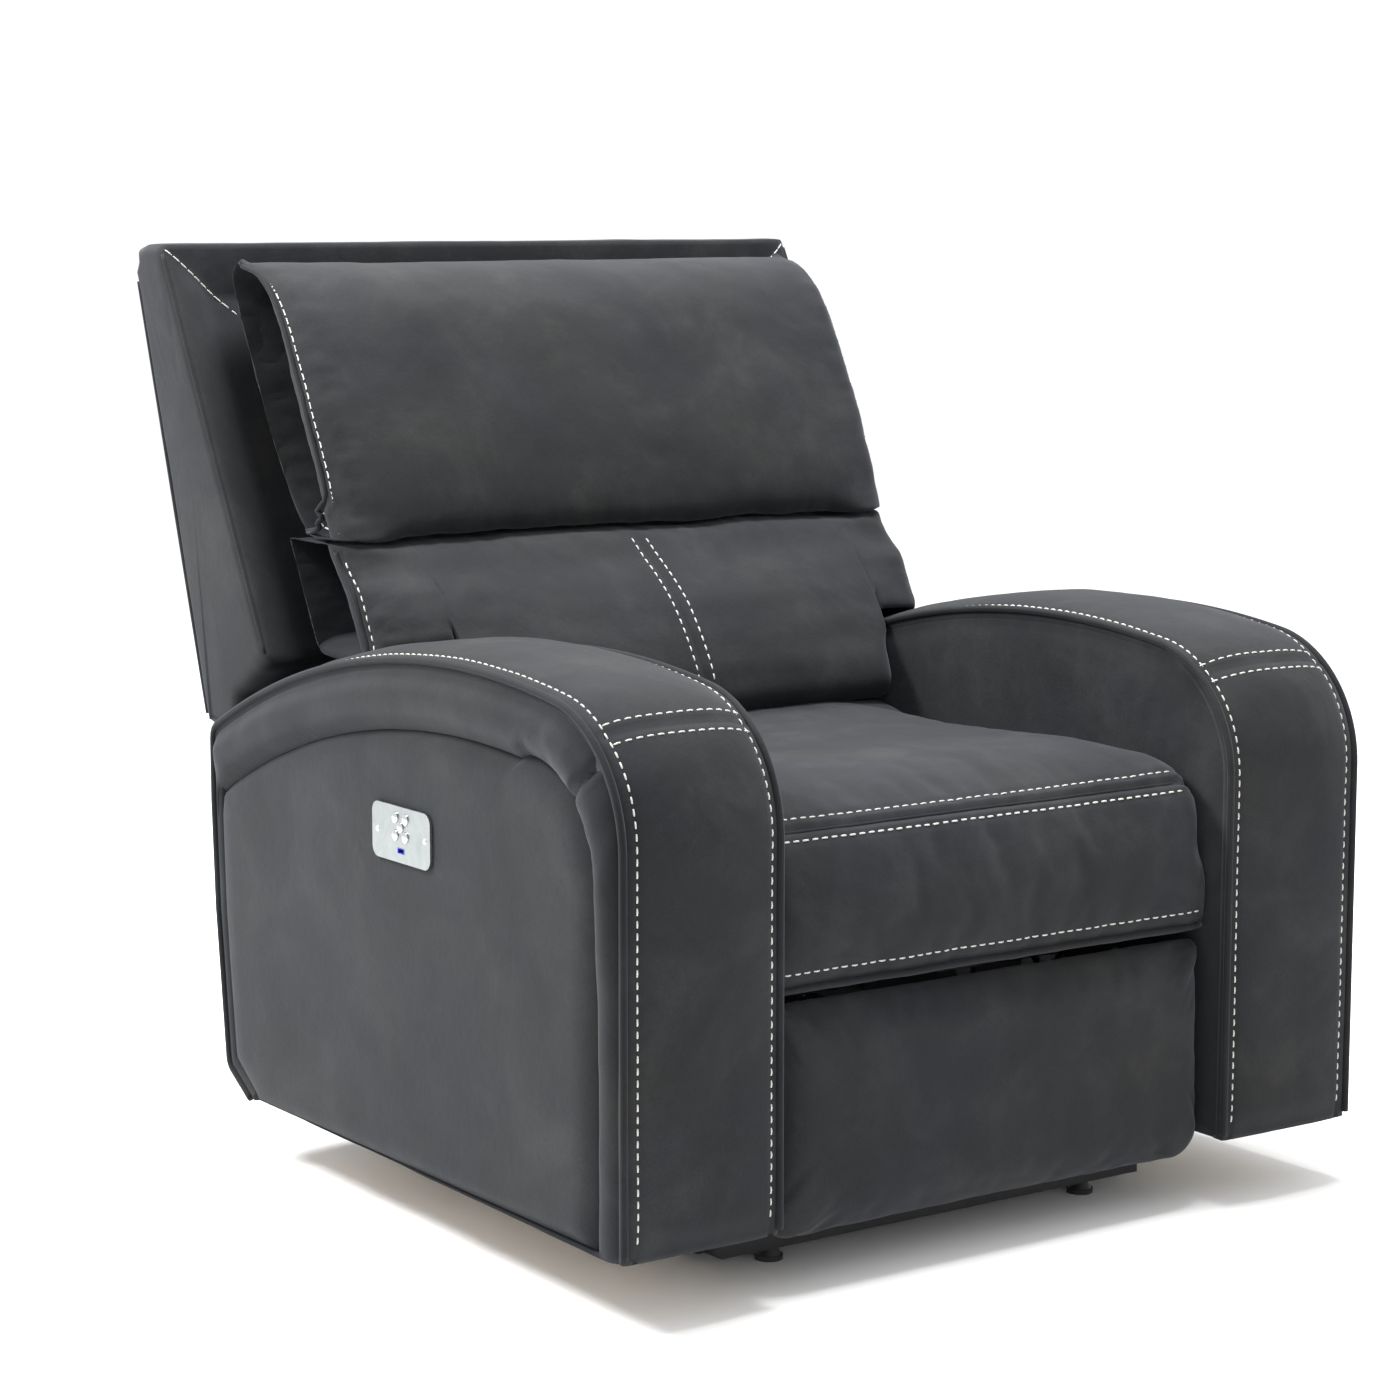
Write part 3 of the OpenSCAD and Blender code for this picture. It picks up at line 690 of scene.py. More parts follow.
def arm_path():
    """Side outline of the arm from its front foot over the top to its rear foot, as (y, z)."""
    meet = degrees(atan2(*(NOSE_C - CROWN_C)[::-1]))
    corner = (ARM_REAR, CROWN_C[1] + sqrt(CROWN_R ** 2 - (ARM_REAR - CROWN_Y) ** 2))
    last = degrees(atan2(corner[1] - CROWN_C[1], corner[0] - CROWN_Y)) + 1.6
    nose = arc(NOSE_C, NOSE_R, 180, meet, 30)
    crown = arc(CROWN_C, CROWN_R, meet, last, 90)
    back = fillet(crown[-1], corner, REAR_LINE[0], 0.020)
    low = fillet(REAR_LINE[1], REAR_LINE[2], REAR_LINE[3], 0.016)
    path = np.vstack([[(ARM_FRONT, ARM_BOTTOM)], nose, crown[1:-1], back, REAR_LINE[:2], low, REAR_LINE[3:]])
    return resample(path, 0.006)


def path_normals(path):
    t = np.gradient(path, axis=0)
    n = np.stack([-t[:, 1], t[:, 0]], 1)
    n /= np.linalg.norm(n, axis=1)[:, None]
    return n


ARM_PATH = arm_path()
ARM_NORMAL = path_normals(ARM_PATH)
ARM_DIST = distances(ARM_PATH)
SEAM_AT = ARM_DIST[np.argmin(np.hypot(ARM_PATH[:, 0] + 0.4965, ARM_PATH[:, 1] - 0.585))]
WELT_IN, WELT_OUT = ARM_IN + 0.0045, ARM_OUT - 0.0045
ROW_IN, ROW_OUT = 0.011, 0.015  # stitch rows, from the inner and the outer welt


def arm_band(side):
    """Boxing strip that runs over the front and top of the arm, crowned between its two welts."""
    across = np.r_[np.linspace(-1, -0.72, 12), np.linspace(-0.68, 0.68, 22), np.linspace(0.72, 1, 12)]
    mid, half = (WELT_IN + WELT_OUT) / 2, (WELT_OUT - WELT_IN) / 2
    rings = []
    for p, n, s in zip(ARM_PATH, ARM_NORMAL, ARM_DIST):
        top = smooth01((p[1] - 0.42) / 0.15)
        crown = 0.0085 + 0.0055 * top
        foot = smooth01(min(s, ARM_DIST[-1] - s) / 0.035)
        crown = crown * foot + 0.002
        cross = exp(-((s - SEAM_AT) / 0.0035) ** 2)
        tuck = exp(-((s - SEAM_AT) / 0.022) ** 2)
        ring = []
        for u in across:
            x = mid + half * u
            row = min(x - WELT_IN, WELT_OUT - x)
            h = crown * (1 - abs(u) ** 3.2)
            off_rows = (x - WELT_IN - ROW_IN, WELT_OUT - ROW_OUT - x)
            h -= 0.0013 * sum(exp(-(off / 0.0028) ** 2) for off in off_rows)
            h -= (0.0032 * cross + 0.0008 * tuck) * (1 - abs(u) ** 8)
            h += 0.0014 * fbm((x, p[0], p[1]), 0.085, 3, 3.1 + side) * (1 - abs(u) ** 4)
            h -= 0.0016 * smooth01(1 - row / 0.004)
            ring.append((side * x, p[0] + n[0] * h, p[1] + n[1] * h))
        for u in np.linspace(1, -1, 8):
            x = mid + half * u * 0.985
            ring.append((side * x, p[0] - n[0] * 0.016, p[1] - n[1] * 0.016))
        rings.append(ring)
    return loft("arm_band_cloth_" + SIDE_NAME[side], rings)


def close_foot(path):
    """The path with a straight run along the arm's foot, back to its start."""
    bottom = np.linspace(0, 1, 60)[1:-1, None]
    return np.vstack([path, path[-1] + (path[0] - path[-1]) * bottom])


def arm_loops():
    """Matching closed loops of the outer side: the welt line and the edge of the inset field."""
    welt = ARM_PATH - ARM_NORMAL * 0.004
    corner_y = FIELD_FRONT + FIELD_R
    ys = np.linspace(corner_y + 0.01, ARM_REAR - 0.040, 60)
    zc = FIELD_TOP - FIELD_CROWN_R
    inset = [(FIELD_FRONT, ARM_BOTTOM + 0.001)]
    inset += list(arc((corner_y, FIELD_TOP - FIELD_R), FIELD_R, 180, 92, 24))
    inset += [(y, zc + sqrt(FIELD_CROWN_R ** 2 - (y - CROWN_Y) ** 2)) for y in ys]
    inset += [(ARM_REAR - 0.012, ARM_BOTTOM + 0.350), (ARM_REAR - 0.008, ARM_BOTTOM + 0.330),
              (ARM_REAR - 0.012, ARM_BOTTOM + 0.215), (ARM_REAR - 0.031, ARM_BOTTOM + 0.040),
              (ARM_REAR - 0.083, ARM_BOTTOM + 0.001)]

    def sample(path, stops):
        """Points that keep step on both loops: front foot, nose, crown's end, rear foot."""
        d = distances(path)
        m = [d[np.argmin(np.hypot(path[:, 0] - y, path[:, 1] - z))] for y, z in stops]
        parts = [np.linspace(a, b, c, endpoint=False) for a, b, c in zip(m[:-1], m[1:], (44, 30, 80, 24, 34))]
        s = np.concatenate(parts + [[m[-1]]])
        return np.stack([np.interp(s, d, path[:, 0]), np.interp(s, d, path[:, 1])], 1)
    w = sample(welt, [(ARM_FRONT, ARM_BOTTOM), (ARM_FRONT, NOSE_C[1]), (NOSE_C[0], ARM_TOP - 0.02),
                      (ARM_REAR, 0.49), (ARM_REAR, 0.3), REAR_LINE[3]])
    i = sample(np.array(inset), [(FIELD_FRONT, ARM_BOTTOM), (FIELD_FRONT, FIELD_TOP - FIELD_R),
                                 (corner_y, FIELD_TOP), (ARM_REAR - 0.04, 0.44), (ARM_REAR - 0.012, 0.29),
                                 (ARM_REAR - 0.083, ARM_BOTTOM)])
    return close_foot(w), close_foot(i)


def arm_outer_side(side):
    """Border strip and inset field of the arm's outer face, one sewn cover."""
    w, i = arm_loops()
    rings = [in_side_view(side * (ARM_OUT - 0.024), w)]
    width = np.linalg.norm(w - i, axis=1)
    puff = np.clip(width / 0.07, 0, 1) ** 1.2
    # the pleat runs from the field's top front corner to the welt
    corner = np.array([FIELD_FRONT + 0.037, FIELD_TOP - 0.037])
    direction = np.array([-0.70, 0.71])
    for t in np.r_[0.0, 0.03, 0.07, np.linspace(0.14, 0.86, 9), 0.92, 0.96, 0.985, 1.0]:
        p = w + (i - w) * t
        bulge = 0.0185 * puff * (1 - abs(2 * t - 1) ** 2.4)
        rel = p - corner
        along, off = rel @ direction, rel @ np.array([direction[1], -direction[0]])
        pleat = bell(off, 0.0045)
        pleat = pleat * smooth01((along + 0.01) / 0.015) * smooth01((0.075 - along) / 0.02)
        ruck = flat_fbm(p, 0.038, 7.7) * 0.0045 * np.exp(-((rel ** 2).sum(1)) / 0.008)
        soft = flat_fbm(p, 0.12, 1.7) * 0.0022
        x = ARM_OUT - 0.0100 + bulge - 0.0105 * pleat + (ruck + soft) * (1 - abs(2 * t - 1) ** 4)
        rings.append(in_side_view(side * x, p))
    rings.append(in_side_view(side * (ARM_OUT - 0.0125), i))
    for t in (0.004, 0.012, 0.024, 0.04, 0.065, 0.10, 0.15, 0.21, 0.28, 0.36, 0.45, 0.54, 0.63, 0.72,
              0.81, 0.89, 0.95):
        p = i + (FIELD_MID - i) * t
        edge = 1 - (1 - min(t / 0.10, 1)) ** 2.6
        soft = flat_fbm(p, 0.15, 5.2) * 0.0018
        x = ARM_OUT - 0.0115 + 0.0115 * edge + soft * edge
        rings.append(in_side_view(side * x, p))
    # flatten round the control plate so it seats on the cloth
    if side < 0:
        pc = np.array([(PLATE_LO.y + PLATE_HI.y) / 2, (PLATE_LO.z + PLATE_HI.z) / 2])
        for ring in rings:
            d = (np.abs(ring[:, 1:] - pc) - PLATE_FLAT).max(1)
            k = 1 - smooth01(d / 0.025)
            ring[:, 0] = ring[:, 0] * (1 - k) + side * (ARM_OUT - 0.0006) * k
    return loft("arm_outer_cloth_" + SIDE_NAME[side], rings)


def arm_inner_side(side):
    w = close_foot(ARM_PATH - ARM_NORMAL * 0.004)
    rings = [in_side_view(side * (ARM_IN + 0.020), w)]
    for t in (0.0, 0.006, 0.014, 0.03, 0.06, 0.10, 0.16, 0.24, 0.34, 0.46, 0.6, 0.75, 0.9):
        p = w + (FIELD_MID - w) * t
        edge = 1 - (1 - min(t / 0.12, 1)) ** 2.4
        soft = flat_fbm(p, 0.14, 9.1) * 0.0012
        rings.append(in_side_view(side * (ARM_IN + 0.0075 - 0.0065 * edge - soft * edge), p))
    return loft("arm_inner_cloth_" + SIDE_NAME[side], rings)


def build_arm(side):
    name = SIDE_NAME[side]
    band = finish(arm_band(side))
    outer = finish(arm_outer_side(side))
    inner = finish(arm_inner_side(side))
    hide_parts("arm_band_" + name)
    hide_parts("arm_outer_panel_" + name)
    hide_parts("arm_inner_panel_" + name)
    line = (ARM_PATH + ARM_NORMAL * 0.0014)[1:-1]
    welts = [tube("welt", in_side_view(side * x, line), WELT_R) for x in (WELT_IN, WELT_OUT)]
    # welt cords in the darkened suede copy: painted shade along the seams
    finish(join("arm_welts_" + name, welts), SUEDE_PAINTED_SHADE)
    tree = surface(band)

    def onto_band(x, p, n):
        return hit_along(tree, (side * x, *(p + n * 0.02)), (0, -n[0], -n[1]), 0.08)
    rows = [[onto_band(x, p, n) for p, n in list(zip(ARM_PATH, ARM_NORMAL))[3:-40]]
            for x in (WELT_IN + ROW_IN, WELT_OUT - ROW_OUT)]
    for off in (-0.0105, 0.0105):
        k = np.argmin(abs(ARM_DIST - SEAM_AT - off))
        rows.append([onto_band(x, ARM_PATH[k], ARM_NORMAL[k])
                     for x in np.linspace(WELT_IN + 0.006, WELT_OUT - 0.006, 40)])
    rows = [smooth_line([q for q in r if q]) for r in rows]
    finish(stitches("arm_stitches_" + name, rows), THREAD)


# ---- seat and footrest

def closed_profile(points, step):
    """Evenly spaced points round a closed outline, first point kept."""
    return resample(np.vstack([points, points[:1]]), step)[:-1]


def round_corners(points, rounds):
    """Chaikin corner cutting of a closed outline."""
    p = np.asarray(points, float)
    for _ in range(rounds):
        q = np.roll(p, -1, 0)
        p = np.stack([0.78 * p + 0.22 * q, 0.22 * p + 0.78 * q], 1).reshape(-1, 2)
    return p


def stations(half, edge, dense, coarse):
    """Signed x stations, dense near both ends."""
    inner = np.linspace(0, half - edge, max(2, int((half - edge) / coarse)))
    outer = half - edge * (1 - np.sin(np.linspace(0, np.pi / 2, dense)))
    side = np.r_[inner, outer[1:]]
    return np.r_[-side[:0:-1], side]


SEAM_Y, SEAM_Z = -0.5080, 0.4800  # seam along the top of the seat's front edge


def build_seat():
    half = SEAT_HI.x - 0.0006
    outline = round_corners([
        (0.056, 0.5000), (0.012, 0.4970), (-0.04, 0.4870), (-0.15, 0.4865), (-0.30, 0.4930), (-0.40, 0.4965),
        (-0.455, 0.4945), (-0.492, 0.4850), (-0.514, 0.4660), (-0.5235, 0.4340), (-0.5270, 0.3850),
        (-0.5275, 0.3450), (-0.5260, 0.3170), (-0.5185, 0.3090), (-0.5085, 0.3050), (-0.5068, 0.3300),
        (-0.5066, 0.3480), (-0.5000, 0.3545), (-0.30, 0.3540), (-0.10, 0.3540), (0.0560, 0.3545),
        (0.0590, 0.4200)], 2)
    base = closed_profile(outline, 0.0085)
    t = np.roll(base, -1, 0) - np.roll(base, 1, 0)
    normal = np.stack([-t[:, 1], t[:, 0]], 1)
    normal /= np.linalg.norm(normal, axis=1)[:, None]
    if ((base - base.mean(0)) * normal).sum() > 0:
        normal = -normal
    top = smooth01((base[:, 1] - 0.36) / 0.06)
    rings = []
    for x in stations(half, 0.030, 9, 0.0095):
        d = half - abs(x)
        cut = 0.030 - sqrt(max(0.0, 0.030 ** 2 - max(0.0, 0.030 - d) ** 2))
        cut = min(cut, 0.026)
        p = base + normal * (cut * np.where(top > 0, 0.25 + 0.75 * top, 0.25))[:, None]
        rings.append(in_side_view(x, p))
    obj = loft("seat_cloth", rings)
    x, y, z = coords(obj).T
    ax = np.abs(x)
    seam = bell(np.hypot(y - SEAM_Y - 0.004, z - SEAM_Z + 0.005), 0.008)
    held = np.maximum.reduce([
        (z < 0.358) & (y > -0.50), y > 0.045, (y > -0.5105) & (z < 0.352), ax > half - 0.004,
        z < 0.318, seam * 0.8]).astype(float)
    inflate(obj, held, pressure=5.0, cap=0.017, grow=0.012)
    subdivide(obj)
    roughen(obj, 0.0011, 0.075, 2.0)
    span = np.linspace(-half + 0.006, half - 0.006, 90)

    def row(y, z, direction):
        return cast(surface(obj), [(x, y, z) for x in span], direction)

    diagonal = (0, 0.72, -0.69)
    groove(obj, places(row(SEAM_Y, SEAM_Z, diagonal)), 0.0062, 0.0052)
    low = row(-0.53, 0.3125, (0, 1, 0.25))
    groove(obj, places(row(-0.53, 0.3200, (0, 1, 0.1))), 0.0030, 0.0050)
    row_at = [(SEAM_Y + 0.0105, SEAM_Z + 0.0105, diagonal),
              (SEAM_Y - 0.0095, SEAM_Z - 0.0115, (0, 0.85, -0.52)), (-0.53, 0.3320, (0, 1, 0))]
    for r in [row(*at) for at in row_at]:
        groove(obj, places(r), 0.0016, 0.0040)
    rows = [row(*at) for at in row_at + [(-0.527, 0.3060, (0, 0.75, 0.66))]]
    finish(obj, body="seat")
    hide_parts("seat_cushion")
    # welt and seam cord in the darkened suede copy: painted shade along the seams
    finish(tube("seat_welt", places(low), 0.0036), SUEDE_PAINTED_SHADE, "seat")
    sunk = [p + n * -0.0016 for p, n in row(SEAM_Y, SEAM_Z, diagonal)]
    finish(tube("seat_seam_cord", sunk, 0.0024), SUEDE_PAINTED_SHADE, "seat")
    finish(stitches("seat_stitches", rows), THREAD, "seat")


def rounded_rect(x, z0, z1, r_low, r_high, step):
    """Closed outline of a panel, anticlockwise from its lower right corner."""
    pts = np.vstack([arc((x - r_low, z0 + r_low), r_low, -90, 0, 10),
                     arc((x - r_high, z1 - r_high), r_high, 0, 90, 6),
                     arc((-x + r_high, z1 - r_high), r_high, 90, 180, 6),
                     arc((-x + r_low, z0 + r_low), r_low, 180, 270, 10)])
    return closed_profile(pts, step)


def build_footrest():
    x, z0, z1 = FOOT_HI.x - 0.001, FOOT_LO.z + 0.001, FOOT_HI.z + 0.0125
    back, front = FOOT_HI.y - 0.0002, FOOT_LO.y + 0.005
    outline = rounded_rect(x, z0, z1, 0.036, 0.012, 0.009)
    mid = np.column_stack([np.clip(outline[:, 0], -x + 0.118, x - 0.118),
                           np.full(len(outline), (z0 + z1) / 2)])
    rings = []

    def ring(t, y):
        p = outline + (mid - outline) * t
        rings.append(np.column_stack([p[:, 0], np.full(len(p), y), p[:, 1]]))
    for t in (1.0, 0.8, 0.6, 0.4, 0.2, 0.06):
        ring(t, back)
    ring(0.0, back - 0.003)
    depth = front - back
    for a in np.linspace(0.1, 1, 7) * np.pi / 2:
        ring((1 - cos(a)) * 0.17, back + depth * (0.25 + 0.75 * sin(a)))
    for t in np.linspace(0.24, 0.92, 10):
        ring(t, front)
    # the last ring closes on a line
    inner = np.array(rings[-1])
    zc = inner[:, 2].mean()
    lower = np.sort(inner[inner[:, 2] < zc, 0])
    lower = lower[np.concatenate([[True], np.diff(lower) > 0.002])]
    rings.append([(lower[np.abs(lower - x).argmin()], y, zc) for x, y, _ in inner])
    obj = loft("footrest_cloth", rings, caps=False)
    face_outwards(obj, merge=1e-5)
    held = (coords(obj)[:, 1] > back - 0.006).astype(float)
    inflate(obj, held, pressure=4.0, cap=0.009, grow=0.006)
    subdivide(obj)
    roughen(obj, 0.0012, 0.07, 4.4)
    finish(obj, body="footrest")
    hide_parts("footrest_cushion")


# ---- back

BACK_PIN = next(np.array(j["pos_m"]) for j in frame["record"]["behaviour"]["joints"]
                if j["name"] == "back_recline")
LEAN = radians(28)
CREASE_Z = HEAD_LO.z
PAD_WELT = HEAD_HI.x - 0.012
PAD_TURN = 0.024
PAD_FLAT = PAD_WELT - PAD_TURN  # where the crown starts to turn in to the welt
# boxed side of both back cushions behind the welt: how far out, and share of the depth at the welt
PAD_SIDE = [(0.0006, 0.965), (0.0006, 0.91), (-0.0020, 0.82), (-0.0085, 0.70), (-0.0180, 0.56),
            (-0.0290, 0.42), (-0.0400, 0.30), (-0.0500, 0.20), (-0.0580, 0.13), (-0.0660, 0.08)]
TURN = (15, 30, 45, 58, 70, 82, 94)  # degrees round the corner into the welt
TURN_DEPTH = 0.205  # share of the depth that the corner takes
CENTRE_ROWS = (-0.0105, 0.0105)
CREASE_D = -0.156  # depth where pillow and lumbar cushion meet flush, at their sides


def pad_half(crown):
    """(x, share of the crown's depth, side share) from the middle of a back cushion outwards."""
    half = [(x, 1.0, 1.0) for x in crown]
    for a in np.radians(TURN):
        half.append((PAD_FLAT + PAD_TURN * sin(a), 1 - TURN_DEPTH * (1 - cos(a)), 1.0))
    x, k = half[-1][:2]
    return half + [(x + dx, k, side) for dx, side in PAD_SIDE]


def mirrored(half):
    return [(-x, k, side) for x, k, side in half[:0:-1]] + half


def lean_y(z, d):
    """y at height z, set off by d to the rear of the leaning back frame."""
    return BACK_PIN[1] + (z - BACK_PIN[2]) * tan(LEAN) + d / cos(LEAN)


def flush_share(a):
    """How far pillow and lumbar cushion are drawn flush at their crease, at a from the middle."""
    return 0.85 * float(smooth01((a - PAD_FLAT + 0.07) / 0.07))


def depth_of(y, z):
    return (y - BACK_PIN[1] - (z - BACK_PIN[2]) * tan(LEAN)) * cos(LEAN)


def build_headrest():
    """Pillow crowned across, with a boxed side behind each welt."""
    top = HEAD_HI.z
    rear = -0.0485
    prof = round_corners([
        (CREASE_Z + 0.001, -0.080), (CREASE_Z + 0.001, -0.116), (CREASE_Z + 0.002, -0.134),
        (CREASE_Z + 0.016, -0.150), (CREASE_Z + 0.045, -0.161), (CREASE_Z + 0.085, -0.1670),
        (top - 0.186, -0.1700), (top - 0.110, -0.1710), (top - 0.056, -0.1650), (top - 0.022, -0.1450),
        (top - 0.008, -0.1120), (top - 0.007, -0.078), (top - 0.022, -0.054), (top - 0.060, rear),
        (top - 0.150, rear), (CREASE_Z + 0.110, rear), (CREASE_Z + 0.060, -0.056),
        (CREASE_Z + 0.020, -0.068)], 2)
    base = closed_profile(prof, 0.0085)
    rings = []
    mid = (CREASE_Z + top) / 2
    half = pad_half(np.linspace(0, PAD_FLAT, 40))
    for x, turn, k in mirrored(half):
        s = k * turn * (1.03 - 0.065 * (min(abs(x), PAD_WELT) / PAD_WELT) ** 3.0)
        z = mid + (base[:, 0] - mid) * (1 - 0.030 * (1 - k) * (base[:, 0] > mid))
        flush = flush_share(abs(x)) * smooth01((CREASE_Z + 0.050 - base[:, 0]) / 0.030)
        square = np.where(base[:, 1] < -0.105, base[:, 1] + (CREASE_D - base[:, 1]) * flush, base[:, 1])
        y = lean_y(z, rear + (square - rear) * s)
        rings.append(np.column_stack([np.full(len(y), x), y, z]))
    obj = loft("headrest_cloth", rings)
    x, y, z = coords(obj).T
    d, ax = depth_of(y, z), np.abs(x)
    welt = bell(ax - PAD_WELT, 0.006)
    held = np.maximum.reduce([
        d > rear - 0.006, welt * 0.93, (ax > PAD_WELT + 0.0015) * 0.6,
        bell(z - CREASE_Z, 0.008), smooth01((z - top + 0.030) / 0.016)]).astype(float)
    inflate(obj, np.clip(held, 0, 1), pressure=6.0, cap=0.016, grow=0.013, stiff=11.0)
    relax(obj, 0.3)
    subdivide(obj)
    pucker(obj, 13.0)
    finish_pad(obj, "headrest", len(half), len(base), CREASE_Z + 0.006, top - 0.004)


def pucker(obj, seed):
    """Small gathers beside the side welts and the crease, and a gentle lumpiness elsewhere."""
    co, n = coords_normals(obj)
    ax = np.abs(co[:, 0])
    side = bell(ax - PAD_WELT + 0.020, 0.022) * (ax < PAD_WELT + 0.002)
    crease = bell(co[:, 2] - CREASE_Z, 0.024)
    wave = np.array([0.0050 * fbm((x, 0, 0), 0.16, 2, 40.0) for x in co[:, 0]])
    wave = wave - 0.0035 * bell(ax - 0.33, 0.03)
    co[:, 2] += wave * bell(co[:, 2] - CREASE_Z, 0.035)
    shift = np.zeros(len(co))
    for k, c in enumerate(co):
        s = fbm((c[0] * 0.25, c[1], c[2]), 0.020, 2, seed) * side[k] * 0.0013
        g = fbm((c[0], c[1] * 0.2, c[2] * 0.25), 0.024, 2, seed + 3) * crease[k] * 0.0016
        shift[k] = s + g + fbm(c, 0.11, 3, seed + 7) * 0.0022
    set_coords(obj, co + n * shift[:, None])


def finish_pad(obj, kind, half, count, z0, z1, centre_z=None):
    """Side welts, the stitch row inside them, and the materials, parenting and hidden CAD part of a back
    cushion.
    """
    def ring_line(index, lift=0.0):
        co, n = coords_normals(obj)
        rows = [(c + m * lift, m) for c, m in zip(co[index * count:(index + 1) * count], n[index * count:])]
        front = [r for r in rows if z0 < r[0][2] < z1 and depth_of(r[0][1], r[0][2]) < -0.062]
        return smooth_line(sorted(front, key=lambda r: r[0][2]))

    def down(x):
        points = [(x, -0.5, z) for z in np.linspace(centre_z, z1, 70)]
        return smooth_line(cast(surface(obj), points, (0, 1, 0), reach=1.6, back=0.0))
    welt = len(PAD_SIDE)
    welt_rings, row_rings = (welt, 2 * half - 2 - welt), (welt + 2, 2 * half - 4 - welt)
    for index in welt_rings + row_rings:
        groove(obj, places(ring_line(index)), 0.0018, 0.0036)
    rows = [ring_line(index) for index in row_rings]
    welts = [tube("w", places(ring_line(index, 0.0010)), 0.0036) for index in welt_rings]
    if kind == "lumbar":
        groove(obj, places(down(0.0)), 0.0050, 0.0050)
        for x in CENTRE_ROWS:
            groove(obj, places(down(x)), 0.0012, 0.0035)
        rows += [down(x) for x in CENTRE_ROWS]
    welt = join(kind + "_welts", welts)
    thread = stitches(kind + "_stitches", rows)
    # the welts take the darkened suede copy: painted shade along the seams
    for piece, mat, slot in ((obj, SUEDE, "suede"), (welt, SUEDE_PAINTED_SHADE, "suede"), (thread, THREAD, None)):
        finish(piece, mat, "headrest", ride=kind == "headrest")
        if kind == "lumbar":
            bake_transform(piece)
    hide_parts(kind + "_cushion")


def build_lumbar():
    """Lower back cushion: a bolster that narrows to pass between the arms."""
    rear = -0.0288
    low, high = LUMBAR_LO.z - 0.014, LUMBAR_HI.z
    narrow = ARM_IN - 0.0012
    front = np.array([(0.006, low), (0.000, low + 0.008), (-0.001, low + 0.030), (0.008, low + 0.062),
                      (0.030, low + 0.098), (0.060, low + 0.135), (0.092, low + 0.163), (0.120, low + 0.182),
                      (0.150, high - 0.004), (0.175, high - 0.001)])
    front_d = depth_of(front[:, 0], front[:, 1])
    rings = []
    half = pad_half(np.r_[np.linspace(0, 0.250, 27), np.linspace(0.258, narrow - 0.006, 6), narrow - 0.002,
                          narrow, narrow + 0.0015, np.linspace(narrow + 0.008, PAD_FLAT, 8)])

    def depth_scale(a, z, k):
        low_s = max(0.0, 1 - (a / (narrow + 0.003)) ** 22) ** 0.35 if a < narrow + 0.003 else 0.0
        drop = 0.10 + 0.16 * float(smooth01((0.700 - z) / 0.09))
        up_s = k * (1 - drop * (min(a, PAD_WELT) / PAD_WELT) ** 3.0)
        if a > narrow + 0.001:
            return up_s
        w = float(smooth01((z - (ARM_TOP - 0.085)) / 0.040))
        return max(0.04, low_s * (1 - w) + up_s * w)

    def over_arm(y):
        """Height just above the cloth of the arm's crown."""
        return CROWN_C[1] + sqrt(CROWN_R ** 2 - (y - CROWN_Y) ** 2) + 0.013
    count = 26
    for x, turn, k in mirrored(half):
        a, k = abs(x), k * turn
        outer = k < 1 or a > narrow + 0.001
        zb = low + 0.010 * (1 - sqrt(max(0.0, 1 - max(0.0, (a - narrow + 0.030) / 0.0302) ** 2)))
        side = flush_share(a)

        def face(z):
            d = np.interp(z, front[:, 1], front_d)
            d += (CREASE_D - d) * side * float(smooth01((z - high + 0.050) / 0.040))
            return lean_y(z, rear + (d - rear) * depth_scale(a, z, k))
        if outer:
            zb = next(z for z in np.linspace(0.640, 0.540, 200) if z < over_arm(face(z)) or z < 0.545)
        zf = zb + (high - zb) * (1 - (1 - np.linspace(0, 1, count)) ** 1.25)
        pts = []
        for z in zf:
            share = 1 - 0.05 * (1 - smooth01((z - zb) / 0.016))
            pts.append((lean_y(z, rear) + (face(z) - lean_y(z, rear)) * share, z))
        top_d = depth_of(*pts[-1])
        pts += [(lean_y(high - 0.0005, top_d + (rear - top_d) * t), high - 0.0005) for t in (0.3, 0.65)]
        z_rear = zb if not outer else max(zb, over_arm(lean_y(0.57, rear)) + 0.034)
        pts += [(lean_y(z, rear), z) for z in z_rear + (zf[::-1] - zb) * (high - z_rear) / (high - zb)]
        a0, b0 = np.array(pts[-1]), np.array(pts[0])
        pts += [tuple(a0 + (b0 - a0) * t) for t in (0.35, 0.7)]
        rings.append([(x, y, z) for y, z in pts])
    obj = loft("lumbar_cloth", rings)
    x, y, z = coords(obj).T
    d, ax = depth_of(y, z), np.abs(x)
    held = np.maximum.reduce([
        d > rear - 0.006, bell(ax - PAD_WELT, 0.006) * 0.95, z < low + 0.004,
        smooth01((ax - narrow + 0.030) / 0.020) * smooth01((0.672 - z) / 0.020),
        (z > high - 0.003), (ax > PAD_WELT + 0.0015) * 0.6,
        bell(x, 0.006) * 0.85]).astype(float)
    inflate(obj, np.clip(held, 0, 1), pressure=5.0, cap=0.010, grow=0.009, stiff=11.0)
    relax(obj, 0.3)
    subdivide(obj)
    pucker(obj, 31.0)
    finish_pad(obj, "lumbar", len(half), len(rings[0]), ARM_TOP - 0.036, high - 0.006, low + 0.010)


REAR_FOOT = (ARM_REAR + 0.082, ARM_TOP - 0.138)  # foot of the rear cover, (y, z)
REAR_TOP = SHELL_HI.z
SHELL_SLOPE = 0.058  # width of the puffed strip along each wing


def rear_y(z):
    top_y = lean_y(REAR_TOP, 0.041)
    return REAR_FOOT[0] + (z - REAR_FOOT[1]) * (top_y - REAR_FOOT[0]) / (REAR_TOP - REAR_FOOT[1])


def shell_front(x, z):
    """Depth of the shell's face: slopes in from every outer edge to the well behind the cushions."""
    half = SHELL_HI.x
    near = min(half - abs(x), (REAR_TOP - z) / cos(LEAN))
    t = min(max(near / 0.072, 0), 1)
    return -0.0256 + 0.0295 * t ** 1.1


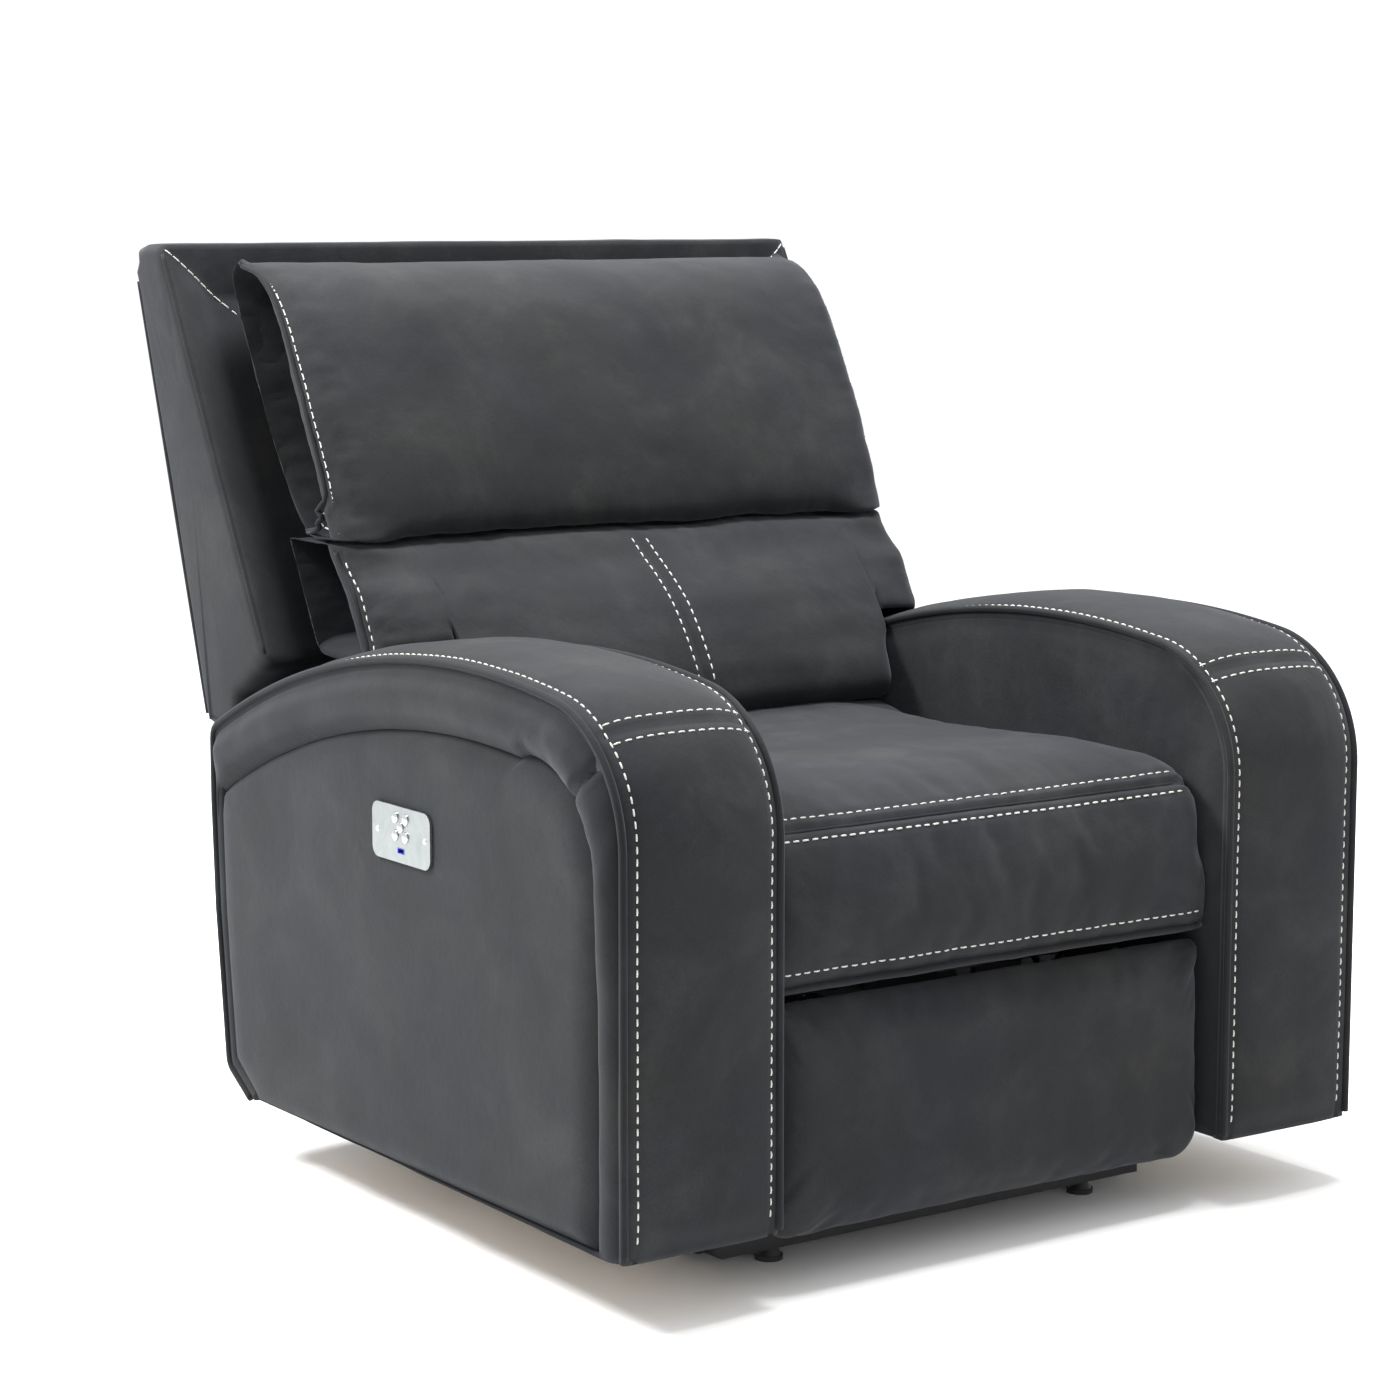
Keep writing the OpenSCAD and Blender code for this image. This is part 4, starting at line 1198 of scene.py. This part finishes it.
def build_shell():
    half = SHELL_HI.x
    wing_z = ARM_TOP - 0.052
    round_r = 0.013
    edge = np.r_[np.linspace(0, half - 0.075, 34), np.linspace(half - 0.070, half - 0.016, 12),
                 half - round_r * (1 - np.sin(np.linspace(0.15, np.pi / 2, 7)))]
    rings = []
    for x in np.r_[-edge[:0:-1], edge]:
        off = max(0.0, round_r - (half - abs(x)))
        cut = round_r - sqrt(max(0.0, round_r ** 2 - off ** 2))
        top = REAR_TOP - 0.001 - cut
        pts = []
        puff = 0
        if abs(x) > half - SHELL_SLOPE:
            puff = 0.0035 * sin(pi * min(1, max(0, (half - abs(x)) / SHELL_SLOPE)))
        for z in np.r_[np.linspace(wing_z + cut, top - 0.075, 34, endpoint=False),
                       np.linspace(top - 0.075, top, 13)]:
            pts.append((lean_y(z, shell_front(x, z) - puff + cut), z))
        y0 = pts[-1][0]
        y1 = rear_y(REAR_TOP) - 0.030 - cut
        pts += [(y0 + (y1 - y0) * t, top + 0.004 * sin(pi * t) * 0.3) for t in (0.2, 0.5, 0.8)]
        corner_z = REAR_TOP - 0.030
        corner_y = rear_y(corner_z) - cut
        pts += [(y1, top), (y1 + 0.016, top - 0.004), (corner_y - 0.006, top - 0.014),
                (corner_y, corner_z - 0.004)]
        for z in np.linspace(corner_z - 0.02, REAR_FOOT[1] + 0.006, 38):
            t = (z - REAR_FOOT[1]) / (corner_z - REAR_FOOT[1])
            sag = 0.0045 * sin(pi * t) * (1 - (abs(x) / half) ** 4)
            pts.append((rear_y(z) - cut + sag, z))
        pts += [(REAR_FOOT[0] - 0.006 - cut, REAR_FOOT[1] + cut), (ARM_REAR + 0.040, REAR_FOOT[1] + cut)]
        pts += [(ARM_REAR + out + cut, REAR_FOOT[1] + up + cut)
                for out, up in ((0.011, 0.0), (0.008, 0.010), (0.0055, 0.030), (0.003, 0.040))]
        a, b = np.array(pts[-1]), np.array(pts[0])
        pts += [tuple(a + (b - a) * t) for t in (0.25, 0.5, 0.75)]
        rings.append([(x, y, z) for y, z in pts])
    obj = loft("back_shell_cloth", rings)
    roughen(obj, 0.0014, 0.16, 6.1)
    tail = []
    tail_half = ARM_IN - 0.006
    for z in np.linspace(REAR_FOOT[1] + 0.030, 0.321, 24):
        across = np.linspace(-tail_half, tail_half, 40)
        ring = [(x, rear_y(z) + 0.002 * sin(pi * (x / tail_half + 1) / 2), z) for x in across]
        tail.append(ring + [(x, rear_y(z) - 0.0115, z) for x in -across])
    tail_obj = loft("back_tail_cloth", tail)
    finish(obj, body="back")
    finish(tail_obj, body="back")
    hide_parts("back_shell")
    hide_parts("back_shell")
    # piping along the front edge of both wings and the rear edge, in the darkened suede copy: painted shade
    # along the seams
    cords = []
    for s in (-1, 1):
        zs = np.linspace(wing_z + 0.012, REAR_TOP - 0.012, 60)
        cords.append(tube("w", [(s * (half - 0.0042), lean_y(z, -0.0212), z) for z in zs], 0.0022))
        zs = np.linspace(REAR_FOOT[1] + 0.012, REAR_TOP - 0.045, 60)
        cords.append(tube("w", [(s * (half - 0.0030), rear_y(z) - 0.0035, z) for z in zs], 0.0034))
    finish(join("back_shell_welts", cords), SUEDE_PAINTED_SHADE, "back")
    # stitching down the mitre at each upper corner; both runs lie on one line
    tree = surface(obj)
    rows = []
    for s in (-1, 1):
        for off in (-0.0085 * 0.7, 0.0085 * 0.7):  # shift along the mitre
            line = []
            for inward in 0.098 * np.linspace(0.02, 0.98, 30):
                x = s * (half - inward + off)
                z = REAR_TOP - inward * cos(LEAN) + off * cos(LEAN)
                hit = hit_along(tree, (x, -0.6, z), (0, 1, 0), 2.0)
                if hit and z < REAR_TOP - 0.002 and abs(x) < half - 0.003:
                    line.append(hit)
            rows.append(smooth_line(line))
    finish(stitches("back_stitches", rows), THREAD, "back")


make_camera()
make_stage()
finish_cad_nodes()
for arm_side in (-1, 1):
    build_arm(arm_side)
build_seat()
build_footrest()
build_shell()
build_lumbar()
build_headrest()
